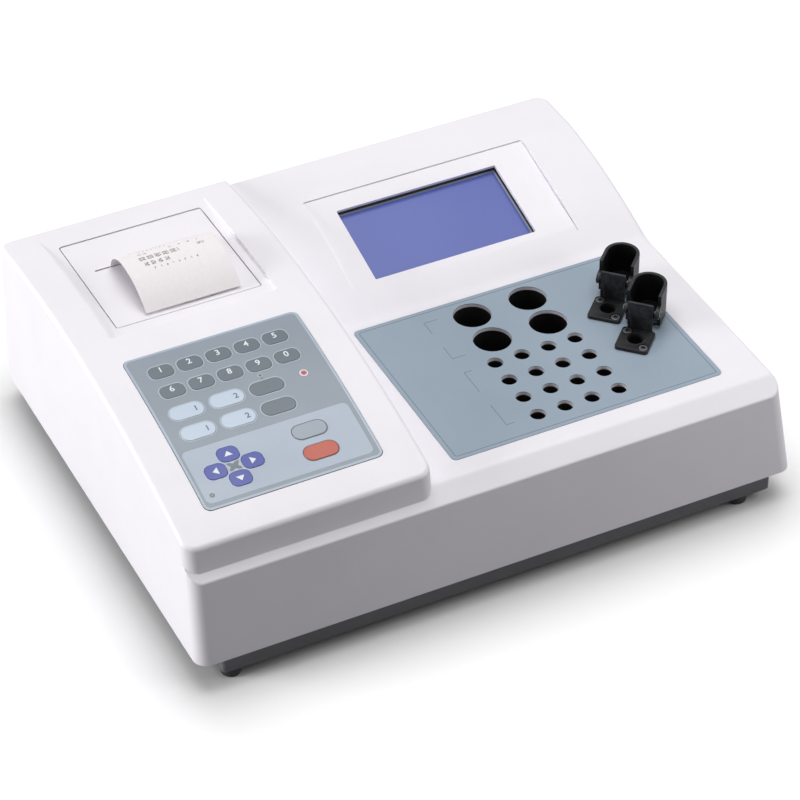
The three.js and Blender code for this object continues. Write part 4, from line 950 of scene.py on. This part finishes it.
# A closed border line inside an area
def frameLine(name, area, corner, width, bottom, top, segments=6):
    hole = max(corner - width, 0.05)
    return cut(
        slab(name, *area, bottom, top, corner, segments),
        slab("tool", *grown(area, -width), bottom - 1, top + 1, hole, segments),
    )


workPrint = {
    "lift": 0.03, "root": 0.05, "bracketWidth": 0.3,
    "borderInset": 2.6, "borderWidth": 0.35, "borderCorner": 1.6,
    "brackets": (
        {"x": 198.6, "low": 104.7, "high": 139.8, "gap": (115.9, 129.1), "tick": 7.9},
        {"x": 198.6, "low": 41.7, "high": 91.0, "gap": (60.0, 73.0), "tick": 4.6},
    ),
}


def makeWorkFoil():
    area = grown(workArea["area"], -workArea["gap"])
    foil = slab("workFoil", *area, deckTop - workArea["thickness"], deckTop, workArea["corner"], 8)
    bevelEdges(foil, workArea["foilEdge"], 2, isRim)
    cut(foil, wellTools(*workArea["drill"]))
    finished(foil, "workFoil", "work_foil", "work_overlay")

    ends = (deckTop - workPrint["root"], deckTop + workPrint["lift"])
    border = grown(workArea["area"], -workPrint["borderInset"])
    corner, width = workPrint["borderCorner"], workPrint["borderWidth"]
    lines = [frameLine("workFoilPrint", border, corner, width, *ends)]
    half = workPrint["bracketWidth"] / 2
    for bracket in workPrint["brackets"]:
        x, low, high = bracket["x"], bracket["low"], bracket["high"]
        lowGap, highGap = bracket["gap"]
        for front, rear in ((low, lowGap), (highGap, high)):
            lines.append(slab("tool", x - half, front, x + half, rear, *ends))
        for y in (low, high):
            lines.append(slab("tool", x, y - half, x + bracket["tick"], y + half, *ends))
    finished(joined(*lines), "foilPrintDark", "work_foil")


makeWorkFoil()


# Black sleeves of the block that stand up in the holes of the deck: partly the block's own sleeves, partly
# a dark lining that paints the shade deep in the holes
shadeSleeves = {"drop": 2.2, "gap": 0.02, "wall": 0.16, "foot": 3.25, "cuvetteRise": 1.0, "sides": 48}


def sleeve(x, y, radius, bottom, top):
    outer = radius - shadeSleeves["gap"]
    tube = rod("wellShadeSleeve", x, y, bottom, top, outer, shadeSleeves["sides"])
    return cut(tube, rod("tool", x, y, bottom - 1, top + 1, outer - shadeSleeves["wall"], shadeSleeves["sides"]))


def makeSleeves():
    low, high = deckTop - shadeSleeves["foot"], deckTop - shadeSleeves["drop"]
    tubes = [sleeve(x, y, workArea["sampleRadius"], low, high) for x, y in sampleWells()]
    tubes += [sleeve(x, y, workArea["reagentRadius"], low, high) for x, y in reagentWells()]
    for place in onChannel:
        tube = sleeve(0, 0, channels["holeRadius"], -shadeSleeves["foot"], shadeSleeves["cuvetteRise"])
        tubes.append(moved(tube, place))
    # The black of these sleeves is painted shade for the dark inside of the wells and the cuvette holes
    finished(joined(*tubes), "anodisedBlock", "block_metal")


makeSleeves()
print("work area made")


# Keypad foil with its printed fields

keypadPrint = {
    "rimWidth": 1.3, "lift": 0.05, "fieldLift": 0.03, "root": -0.4,
    "field": (23.9, 34.5, 117.9, 69.3), "fieldCorner": 3.2,
    "haloWidth": 0.6, "outlineWidth": 0.45,
    "starReach": (4.6, 3.9), "starWaist": 0.46, "starPoints": 48,
    "lampEdge": 0.05, "lampStep": 0.06, "stemHalf": 0.25, "stemTop": -1.2, "stemLift": 0.02,
    "lamps": (
        {"place": (84.1, 102.8), "rings": ((1.35, "halo"), (0.85, "lampGreen")), "stem": 3.2},
        {"place": (106.1, 95.8), "rings": ((2.3, "whitePrint"), (1.7, "lampRed"), (0.8, "darkPrint"))},
        {"place": (28.3, 39.2), "rings": ((1.4, "darkPrint"), (0.95, "lampGreen"))},
    ),
}

keys = {
    "clearance": 0.12, "gap": 0.3, "bottom": -0.95, "top": 0.55, "edge": 0.35,
    "number": (13.2, 8.8, 3.4), "pill": (18.6, 9.2, 4.4), "arrow": (11.4, 9.4, 3.6),
    "numberFirstX": 37.6, "numberPitch": 16.4, "numberRows": (125.6, 110.3),
    "pillFirstX": 38.5, "pillPitch": 22.8, "pillRows": (94.2, 79.5),
    "menu": (92.2, 59.3), "enter": (92.2, 45.0),
    "arrowCentre": (46.4, 52.0), "arrowReach": (10.3, 8.1),
    "numeralSize": {"number": 5.4, "pill": 5.0}, "numeralDepth": 0.02, "numeralWeight": 0.09,
    "arrowHead": ((-2.3, -1.2), (2.3, -1.2), (0, 1.9)),
    "markPlace": {"pill": (5.2, 0), "number": (0, 1.2), "arrow": (0, 0)}, "markLift": 0.01,
}


# Node, shape, look, slot, place and mark of every key
def keyPlan():
    plan = []
    rear, front = keys["numberRows"]
    for column in range(5):
        x = keys["numberFirstX"] + column * keys["numberPitch"]
        for digit, y in ((column + 1, rear), ((column + 6) % 10, front)):
            plan.append((f"key_{digit}", "number", "numberKey", "number_key", x, y, str(digit)))
    pills = (
        ("timer_1_key", "channel_1_key", "paleKey", "pale_key", "1"),
        ("timer_2_key", "channel_2_key", "paleKey", "pale_key", "2"),
        ("online_key", "paper_feed_key", "numberKey", "number_key", ""),
    )
    for column, (*names, look, slot, mark) in enumerate(pills):
        x = keys["pillFirstX"] + column * keys["pillPitch"]
        for name, y in zip(names, keys["pillRows"]):
            plan.append((name, "pill", look, slot, x, y, mark))
    for name in ("menu", "enter"):
        plan.append((f"{name}_key", "pill", f"{name}Key", f"{name}_key", *keys[name], ""))
    centreX, centreY = keys["arrowCentre"]
    reachX, reachY = keys["arrowReach"]
    ways = (("up", 0, reachY), ("right", reachX, 0), ("down", 0, -reachY), ("left", -reachX, 0))
    for way, across, along in ways:
        x, y = centreX + across, centreY + along
        plan.append((f"arrow_{way}_key", "arrow", "arrowKey", "arrow_key", x, y, way))
    return plan


def onKey(x, y):
    return turned(x, y, consoleTop(y), aboutX=consoleSlope(y))


def keyBlank(name, kind, grow, bottom, top):
    width, depth, corner = keys[kind]
    return slab(name, *grown(centred(width, depth), grow), bottom, top, corner + grow, 7)


def keyHole(kind):
    return keyBlank("tool", kind, keys["gap"], -beyond, beyond)


def keyHoles(rearmost):
    holes = []
    for name, kind, look, slot, x, y, mark in keyPlan():
        if y < rearmost:
            holes.append(moved(keyHole(kind), onKey(x, y)))
    return joined(*holes)


def makeKeypadFoil():
    area, corner, proud = grown(keypad["area"], -keypad["gap"]), keypad["corner"], keypad["proud"]
    foil = consoleSheet("keypadFoil", area, corner, keypad["foilBottom"], proud, 8)
    bevelEdges(foil, keypad["foilEdge"], 2, isRim)
    cut(foil, keyHoles(area[3]))
    finished(foil, "keypadFoil", "keypad_foil", "keypad_overlay")

    # A pale band round the edge of the foil: partly print, partly a painted highlight along the edge
    top = proud + keypadPrint["fieldLift"]
    rim = consoleSheet("keypadRimAndHighlight", area, corner, proud, top, 8)
    width = keypadPrint["rimWidth"]
    sheet = (console["sheetLow"], console["sheetHigh"])
    cut(rim, slab("tool", *grown(area, -width), *sheet, corner - width, 8))
    finished(rim, "foilRimAndHighlight", "keypad_foil")

    area = keypadPrint["field"]
    field = consoleSheet("keypadField", area, keypadPrint["fieldCorner"], proud, top, 8)
    cut(field, keyHoles(area[3]))
    finished(field, "foilPale", "keypad_foil")


makeKeypadFoil()


# Printed rings round the keys, the star between the arrow keys, and the signal lamps
printTop = keypad["proud"] + keypadPrint["lift"]


def keyRings(name, look, width, wanted):
    rings = []
    for node, kind, keyLook, slot, x, y, mark in keyPlan():
        if (keyLook in ("menuKey", "enterKey")) == wanted:
            ring = keyBlank("ring", kind, keys["gap"] + width, keypadPrint["root"], printTop)
            rings.append(moved(cut(ring, keyHole(kind)), onKey(x, y)))
    finished(named(joined(*rings), name), look, "keypad_foil")


def makeKeyPrint():
    keyRings("keyHalos", "halo", keypadPrint["haloWidth"], False)
    keyRings("keyOutlines", "outline", keypadPrint["outlineWidth"], True)
    reachX, reachY = keypadPrint["starReach"]
    waist, count = keypadPrint["starWaist"], keypadPrint["starPoints"]
    outline = []
    for i in range(count):
        angle = 2 * math.pi * i / count
        reach = waist + (1 - waist) * abs(math.sin(2 * angle)) ** 3
        outline.append((reachX * reach * math.cos(angle), reachY * reach * math.sin(angle)))
    star = plate("arrowStar", outline, keypadPrint["root"], printTop)
    finished(star, "numberKey", "keypad_foil", place=onKey(*keys["arrowCentre"]))


def makeLamps():
    root = keypadPrint["root"]
    for number, lamp in enumerate(keypadPrint["lamps"]):
        place = onKey(*lamp["place"])
        for step, (radius, look) in enumerate(lamp["rings"]):
            top = printTop + keypadPrint["lampStep"] * step
            disc = rod(f"lamp{number + 1}Ring{step + 1}", 0, 0, root, top, radius, 32)
            finished(softened(disc, keypadPrint["lampEdge"]), look, "keypad_foil", place=place)
        if "stem" in lamp:
            half, top = keypadPrint["stemHalf"], printTop + keypadPrint["stemLift"]
            edges = (-half, -lamp["stem"], half, keypadPrint["stemTop"])
            stem = slab(f"lamp{number + 1}Stem", *edges, root, top)
            finished(stem, "darkPrint", "keypad_foil", place=place)


makeKeyPrint()
makeLamps()
print("keypad foil made")


def numeral(text, size):
    deselect()
    bpy.ops.object.text_add(location=(0, 0, 0))
    letter = bpy.context.object.data
    letter.body = text
    letter.size = size
    letter.align_x = "CENTER"
    letter.align_y = "CENTER"
    letter.extrude = keys["numeralDepth"]
    letter.offset = keys["numeralWeight"]
    letter.resolution_u = 4
    bpy.ops.object.convert(target="MESH")
    return bpy.context.object


def arrowHead(way):
    turn = {"up": 0, "left": math.pi / 2, "down": math.pi, "right": -math.pi / 2}[way]
    mark = plate("mark", keys["arrowHead"], -keys["numeralDepth"], keys["numeralDepth"])
    return moved(mark, Matrix.Rotation(turn, 4, "Z"))


def makeKeys():
    blanks = {}
    for kind in ("number", "pill", "arrow"):
        blank = keyBlank("blank", kind, keys["gap"] - keys["clearance"], keys["bottom"], keys["top"])
        blanks[kind] = bevelEdges(blank, keys["edge"], 3, isRim)
    for name, kind, look, slot, x, y, mark in keyPlan():
        key = copyOf(blanks[kind], name + "Cap")
        key.data.materials.append(looks[look])
        if mark:
            sign = arrowHead(mark) if kind == "arrow" else numeral(mark, keys["numeralSize"][kind])
            moved(sign, Matrix.Translation((*keys["markPlace"][kind], keys["top"] + keys["markLift"])))
            sign.data.materials.clear()
            sign.data.materials.append(looks["darkPrint" if look == "paleKey" else "whitePrint"])
            joined(key, sign)
        finished(key, None, slot, name, place=onKey(x, y), body=name + "_cap")
    removed(*blanks.values())


makeKeys()
print("keys made")


# Measuring channels: bracket, flip-over hood, pivot and screws

bracket = {
    "halfWidth": 9.4, "front": -9.8, "rear": 9.4, "bottom": 0.05, "thickness": 2.2, "corner": 2.2,
    "edge": 0.45, "holeRadius": 4.55, "holeSides": 44,
    "seatGap": 0.4, "screwHead": 2.55, "screwHeadDepth": 1.5,
    "uprightHalfWidth": 7.0, "uprightThickness": 1.5, "uprightTop": 19.5, "uprightEdge": 0.3,
    "pivotY": 12.6, "pivotZ": 12.4, "boreRadius": 1.3, "boreReach": 20,
    "earReach": 2.6, "earThickness": 1.5,
}

hood = {
    "halfWidth": 9.9, "wall": 1.9, "floor": 1.6, "floorZ": 2.0, "front": 15.3, "arcY": 26.0, "top": 22.2,
    "lug": 3.4, "edge": 0.28,
}

pivot = {
    "radius": 1.25, "headRadius": 2.2, "headDepth": 0.35, "headEdge": 0.12, "gap": 0.1,
    "socketRadius": 1.2, "socketDepth": 0.2,
}

screw = {"seat": 0.05, "edge": 0.3, "socketRadius": 1.3, "socketDepth": 1}


def pivotRod(name, left, right, radius, sides=24):
    return crossRod(name, bracket["pivotY"], bracket["pivotZ"], left, right, radius, sides)


def pivotBore():
    return pivotRod("tool", -bracket["boreReach"], bracket["boreReach"], bracket["boreRadius"])


# Points on a circle round a middle, in equal steps of a sweep
def arcPoints(x, y, reach, start, sweep, steps):
    angles = [start + sweep * i / steps for i in range(steps + 1)]
    return [(x + reach * math.cos(angle), y + reach * math.sin(angle)) for angle in angles]


def makeBracket():
    rearFace = bracket["rear"] + bracket["uprightThickness"] / 2
    frontFace = rearFace - bracket["uprightThickness"]
    width, half, thickness = bracket["halfWidth"], bracket["uprightHalfWidth"], bracket["thickness"]
    base = slab(
        "channelBracket", -width, bracket["front"], width, bracket["rear"],
        bracket["bottom"], thickness, bracket["corner"], 6,
    )
    bevelEdges(base, bracket["edge"], 3, isRim)
    wall = slab("tool", -half, frontFace, half, rearFace, thickness / 2, bracket["uprightTop"])
    combine(base, "UNION", softened(wall, bracket["uprightEdge"]))
    pivotY, pivotZ, reach = bracket["pivotY"], bracket["pivotZ"], bracket["earReach"]
    rounded = arcPoints(pivotY, pivotZ, reach, -math.pi / 2, math.pi, 9)[1:-1]
    ear = [(frontFace, pivotZ - reach * 2), (pivotY, pivotZ - reach), *rounded]
    ear += [(pivotY, pivotZ + reach), (frontFace, pivotZ + reach * 2)]
    for left in (-half, half - bracket["earThickness"]):
        combine(base, "UNION", prism("tool", ear, left, left + bracket["earThickness"]))
    top = 2 * beyond
    spots, radius = channels["screwSpots"], channels["screwRadius"]
    tools = [rod("tool", 0, 0, -beyond, top, bracket["holeRadius"], bracket["holeSides"])]
    tools += [rod("tool", *spot, -beyond, top, radius, 20) for spot in spots]
    tools.append(pivotBore())
    seat, radius = thickness - bracket["screwHeadDepth"], bracket["screwHead"] + bracket["seatGap"]
    tools += [rod("tool", *spot, seat, top, radius, 28) for spot in spots]
    return cut(base, *tools)


def hoodOutline(inset, front):
    reach = hood["halfWidth"] - inset
    return [(-reach, front), (reach, front), *arcPoints(0, hood["arcY"], reach, 0, math.pi, 24)]


def makeHood():
    cup = plate("channelHood", hoodOutline(0, hood["front"]), hood["floorZ"], hood["top"])
    hollow = hoodOutline(hood["wall"], hood["front"] - beyond)
    cut(cup, plate("tool", hollow, hood["floorZ"] + hood["floor"], 30))
    softened(cup, hood["edge"], angle=50)
    pivotY, pivotZ, lug = bracket["pivotY"], bracket["pivotZ"], hood["lug"]
    start = hood["front"] + lug
    outline = [(start, pivotZ - lug), (start, pivotZ + lug)]
    outline += arcPoints(pivotY, pivotZ, lug, math.pi / 2, math.pi, 12)
    for left in (-hood["halfWidth"], hood["halfWidth"] - hood["wall"]):
        combine(cup, "UNION", prism("tool", outline, left, left + hood["wall"]))
    return cut(cup, pivotBore())


def makePivot():
    reach = hood["halfWidth"] + pivot["gap"]
    pin = pivotRod("pivotPin", -reach, reach, pivot["radius"])
    for side in (-1, 1):
        ends = sorted((side * reach, side * (reach + pivot["headDepth"])))
        head = softened(pivotRod("tool", *ends, pivot["headRadius"], 32), pivot["headEdge"])
        ends = sorted((side * (reach - pivot["socketDepth"]), side * (reach + beyond)))
        joined(pin, cut(head, pivotRod("tool", *ends, pivot["socketRadius"], 6)))
    return pin


def makeScrew():
    top = bracket["thickness"]
    bottom = top - bracket["screwHeadDepth"] + screw["seat"]
    head = softened(rod("bracketScrew", 0, 0, bottom, top, bracket["screwHead"], 36), screw["edge"], 3)
    return cut(head, rod("tool", 0, 0, top - screw["socketDepth"], top + beyond, screw["socketRadius"], 6))


# The body that the record gives a node
def bodyOf(node):
    return next(name for name, nodes in frame["record"]["behaviour"]["bodies"].items() if node in nodes)


def makeChannels():
    pieces = (
        ("Bracket", makeBracket(), "fixtureBlack", "fixture_plastic", "bracket", (0, 0)),
        ("Hood", makeHood(), "fixtureBlack", "fixture_plastic", "hood", (0, 0)),
        ("Pivot", makePivot(), "darkSteel", "dark_steel", "pivot_pin", (0, 0)),
    )
    screwHead = makeScrew()
    frontSpot, rearSpot = channels["screwSpots"]
    pieces += (
        ("FrontScrew", screwHead, "darkSteel", "dark_steel", "front_screw", frontSpot),
        ("RearScrew", screwHead, "darkSteel", "dark_steel", "rear_screw", rearSpot),
    )
    for number, place in enumerate(onChannel, 1):
        for name, piece, look, slot, part, spot in pieces:
            node = f"channel_{number}_{part}"
            copy = copyOf(piece, f"channel{number}{name}")
            where = place @ Matrix.Translation((*spot, 0))
            finished(copy, look, slot, node, place=where, body=bodyOf(node))
    removed(*[piece for name, piece, *others in pieces[:4]])


makeChannels()
print("channels made")


# Printer lid and the printed strip

strip = {
    "left": 49.0, "right": 104.5, "thickness": 0.12, "tearDepth": 0.5,
    "points": ((-38.4, -3.0), (-38.4, 17.0), (-72.0, 19.0), (-89.5, 1.6)),
    "rows": 140, "columns": 111,
    "printRows": (
        {"first": 42, "height": 2, "left": 16, "right": 98, "step": 4, "width": 2},
        {"first": 49, "height": 2, "left": 24, "right": 60, "step": 5, "width": 3},
        {"first": 58, "height": 3, "left": 22, "right": 34, "step": 6, "width": 4},
        {"first": 58, "height": 3, "left": 58, "right": 92, "step": 11, "width": 3},
        {"first": 67, "height": 8, "left": 20, "right": 66, "step": 9, "width": 7},
        {"first": 68, "height": 5, "left": 88, "right": 96, "step": 7, "width": 6},
        {"first": 79, "height": 7, "left": 22, "right": 52, "step": 8, "width": 5},
        {"first": 90, "height": 3, "left": 30, "right": 84, "step": 7, "width": 2},
    ),
}


def makeLid():
    lid = slab("printerLid", *printer["lid"], -printer["lidThickness"], 0, printer["lidCorner"], 6)
    bevelEdges(lid, printer["lidEdge"], 3, isRim)
    left, right, middle = printer["slotLeft"], printer["slotRight"], printer["slotV"]
    half, steps = printer["slotWidth"] / 2, 2 * printer["slotTeeth"]
    outline = [(left, middle - half), (right, middle - half)]
    for i in range(steps + 1):
        reach = half if i % 2 else half - printer["toothDepth"]
        outline.append((right + (left - right) * i / steps, middle + reach))
    cut(lid, plate("tool", outline, -5, 5))
    v, w = printer["hinge"]
    radius = printer["lugRadius"]
    for left in printer["lugs"]:
        right = left + printer["lugWidth"]
        lug = crossRod("tool", v, w, left, right, radius, 24)
        joined(lug, slab("tool", left, v - radius, right, v + radius, w, printer["lugTop"]))
        joined(lid, lug)
    finished(lid, "housingPlastic", "housing_plastic", "printer_lid", place=onPrinter, body="lid")


def onCurve(t):
    a, b, c, d = (Vector(point) for point in strip["points"])
    return a * (1 - t) ** 3 + b * 3 * t * (1 - t) ** 2 + c * 3 * t ** 2 * (1 - t) + d * t ** 3


# Dots that read as printing from afar and spell nothing
def isPrinted(column, row):
    for line in strip["printRows"]:
        down, across = row - line["first"], column - line["left"]
        inside = 0 <= down < line["height"] and 0 <= across < line["right"] - line["left"]
        if inside and across % line["step"] < line["width"]:
            return (column * 7 + row * 5 + column * row) % 5 < 3
    return False


def makeStrip():
    rows, columns = strip["rows"], strip["columns"]
    deselect()
    bpy.ops.mesh.primitive_grid_add(x_subdivisions=columns, y_subdivisions=rows, size=1)
    sheet = started("paperStrip")
    for vert in sheet.data.vertices:
        across, along = vert.co.x + 0.5, 0.5 - vert.co.y
        v, w = onCurve(along)
        if along > 0.999:
            tooth = abs((across * columns) % 2 - 1)
            v -= strip["tearDepth"] * tooth
        vert.co = (strip["left"] + across * (strip["right"] - strip["left"]), v, w)
    sheet.data.materials.append(looks["paper"])
    sheet.data.materials.append(looks["thermalPrint"])
    for number, face in enumerate(sheet.data.polygons):
        face.material_index = isPrinted(number % columns, rows - 1 - number // columns)
    modifier = sheet.modifiers.new("sheet", "SOLIDIFY")
    modifier.thickness = strip["thickness"]
    modifier.offset = 0
    modifier.material_offset = -1
    only(sheet)
    bpy.ops.object.modifier_apply(modifier=modifier.name)
    outward(sheet)
    finished(sheet, None, "paper", "paper_strip", place=onPrinter, body="lid", angle=60)


makeLid()
makeStrip()
print("printer made")


# Display: black gasket, metal bezel and the lit panel
displayStack = {
    "panel": {"grow": 2.5, "bottom": -7.2, "top": -5.7, "corner": 0.6},
    "gasket": {"grow": 3.5, "bottom": -5.65, "top": -3.05, "corner": 1.5, "width": 3.3, "edge": 0.15},
    "bezel": {"grow": 0.2, "bottom": -5.7, "top": -5.6, "corner": 0.4, "width": 1.1},
}


def windowFrame(name, values, segments):
    area, ends = grown(display["window"], values["grow"]), (values["bottom"], values["top"])
    return frameLine(name, area, values["corner"], values["width"], *ends, segments)


def makeDisplay():
    panel = displayStack["panel"]
    area = grown(display["window"], panel["grow"])
    pane = slab("displayPanel", *area, panel["bottom"], panel["top"], panel["corner"], 4)
    finished(pane, "displayGlow", "display_pane", "display_window", place=onDisplay)
    gasket = windowFrame("displayGasket", displayStack["gasket"], 4)
    bevelEdges(gasket, displayStack["gasket"]["edge"], 2, isRim)
    finished(gasket, "displayBlack", "display_module", "display_gasket", place=onDisplay)
    bezel = windowFrame("displayBezel", displayStack["bezel"], 3)
    finished(bezel, "bezelGrey", "display_module", place=onDisplay)


makeDisplay()
print("display made")


# CAD nodes that keep their shape get a full finish
keptNodes = {
    "incubation_block": "anodisedBlock", "channel_block": "anodisedBlock", "heater_plate": "heaterFoil",
    "display_module": "displayBlack", "keypad_board": "circuitBoard", "printer_bucket": "darkPlastic",
    "lid_hinge_pin": "brightMetal", "platen_roller": "platenRubber", "print_head": "brightMetal",
    "paper_roll": "paper", "main_board": "circuitBoard", "power_supply": "brightMetal",
    "power_inlet": "darkPlastic", "switch_frame": "darkPlastic", "power_switch_rocker": "fixtureBlack",
    "serial_port": "brightMetal",
}
for node, look in keptNodes.items():
    for slot in frame["nodes"][node].material_slots:
        slot.material = looks[look]
print("kept nodes dressed")


# Studio

studio = {
    # The darker floor colour under and round the footprint is a painted contact shadow, and the lift starts
    # where it ends
    "floorSeen": (250, 250, 251), "paintedContactShadow": (128, 125, 123), "floorBounce": (112, 112, 114),
    "footprint": (0.156, 0.127), "paintedShadowReach": 0.008, "liftRange": 0.068, "floorLift": 0.15,
    "overhead": {"energy": 26.6, "size": 1.65, "place": (0.13, 0.2, 1.8)},
    "leftSide": {"energy": 59.0, "size": 1.2, "place": (-2.4, 0.48, 0.47)},
    "rightFill": {"energy": 1.55, "size": 0.4, "place": (0.62, -0.52, 0.36)},
    "skyLight": 0.12, "floorSize": 12, "floorRoughness": 0.3, "aim": (0, 0, 0.05),
}


def seenDirectly(tree):
    path = tree.nodes.new("ShaderNodeLightPath")
    shiny = mathNode(tree, "MAXIMUM", path.outputs["Is Glossy Ray"], path.outputs["Is Transmission Ray"])
    return mathNode(tree, "MAXIMUM", path.outputs["Is Camera Ray"], shiny)


# One shader where the floor or the sky is seen, another for the light it gives
def splitShader(tree, given, seen, output):
    choice = tree.nodes.new("ShaderNodeMixShader")
    for socket, shader in zip(choice.inputs, (seenDirectly(tree), given, seen)):
        tree.links.new(shader, socket)
    tree.links.new(choice.outputs[0], tree.nodes[output].inputs["Surface"])


# How far a spot of the floor lies outside the footprint
def distanceAway(tree):
    place = tree.nodes.new("ShaderNodeSeparateXYZ")
    tree.links.new(objectPlace(tree), place.inputs[0])
    squares = []
    for label, half in zip("XY", studio["footprint"]):
        outside = mathNode(tree, "SUBTRACT", mathNode(tree, "ABSOLUTE", place.outputs[label]), half)
        reach = mathNode(tree, "MAXIMUM", outside, 0.0)
        squares.append(mathNode(tree, "MULTIPLY", reach, reach))
    return mathNode(tree, "SQRT", mathNode(tree, "ADD", *squares))


def makeFloor():
    deselect()
    bpy.ops.mesh.primitive_plane_add(size=studio["floorSize"], location=(0, 0, 0))
    floor = bpy.context.object
    floor.name = "studioFloor"
    material, tree, paper = newMaterial("floorPaper")
    paper.inputs["Roughness"].default_value = studio["floorRoughness"]
    paper.inputs["Emission Color"].default_value = (1, 1, 1, 1)
    # Lifted to white away from the object, so that the shadow under it stays; under and right round the
    # footprint the floor's colour is darkened, a painted contact shadow
    away = distanceAway(tree)
    # Painted contact shadow: a darker colour within a few millimetres of the footprint
    clear = mapped(tree, away, 0.0, studio["paintedShadowReach"])
    tone = mixed(tree, clear, fromScreen(*studio["paintedContactShadow"]), fromScreen(*studio["floorSeen"]))
    tree.links.new(tone, paper.inputs["Base Color"])
    lift = mapped(tree, away, studio["paintedShadowReach"], studio["liftRange"], 0.0, studio["floorLift"])
    tree.links.new(lift, paper.inputs["Emission Strength"])
    bounce = tree.nodes.new("ShaderNodeBsdfDiffuse")
    bounce.inputs["Color"].default_value = fromScreen(*studio["floorBounce"])
    splitShader(tree, bounce.outputs[0], paper.outputs[0], "Material Output")
    floor.data.materials.append(material)


def makeWorld():
    world = bpy.data.worlds.new("studio")
    bpy.context.scene.world = world
    world.use_nodes = True
    tree = world.node_tree
    skies = (tree.nodes["Background"], tree.nodes.new("ShaderNodeBackground"))
    for sky, strength in zip(skies, (studio["skyLight"], 1.0)):
        sky.inputs["Color"].default_value = (1, 1, 1, 1)
        sky.inputs["Strength"].default_value = strength
    splitShader(tree, skies[0].outputs[0], skies[1].outputs[0], "World Output")


def makeSoftbox(name, values):
    deselect()
    bpy.ops.object.light_add(type="AREA", location=values["place"])
    lamp = bpy.context.object
    lamp.name = name
    lamp.data.energy = values["energy"]
    lamp.data.shape = "SQUARE"
    lamp.data.size = values["size"]
    aim = Vector(studio["aim"]) - Vector(values["place"])
    lamp.rotation_euler = aim.to_track_quat("-Z", "Y").to_euler()


photoView = {
    "azimuth": -25.958, "elevation": 39.106, "roll": -0.448, "lens": 146.37,
    "place": (-0.61026, -1.26771, 1.17462), "shiftX": -0.00206, "shiftY": -0.000075,
}


def makeCamera():
    deselect()
    bpy.ops.object.camera_add()
    camera = bpy.context.object
    camera.name = "photoCamera"
    azimuth, elevation, roll = (math.radians(photoView[key]) for key in ("azimuth", "elevation", "roll"))
    level = math.cos(elevation)
    back = Vector((math.sin(azimuth) * level, -math.cos(azimuth) * level, math.sin(elevation)))
    right = Vector((math.cos(azimuth), math.sin(azimuth), 0))
    up = back.cross(right)
    rolledRight = right * math.cos(roll) + up * math.sin(roll)
    rolledUp = up * math.cos(roll) - right * math.sin(roll)
    turn = Matrix((rolledRight, rolledUp, back)).transposed()
    camera.matrix_world = Matrix.Translation(photoView["place"]) @ turn.to_4x4()
    camera.data.lens = photoView["lens"]
    camera.data.sensor_width = 36
    camera.data.shift_x = photoView["shiftX"]
    camera.data.shift_y = photoView["shiftY"]
    bpy.context.scene.camera = camera


makeFloor()
makeWorld()
for name, key in (("overheadSoftbox", "overhead"), ("leftSoftbox", "leftSide"), ("rightFill", "rightFill")):
    makeSoftbox(name, studio[key])
makeCamera()
bpy.context.scene.view_settings.view_transform = "Standard"
print("studio made")
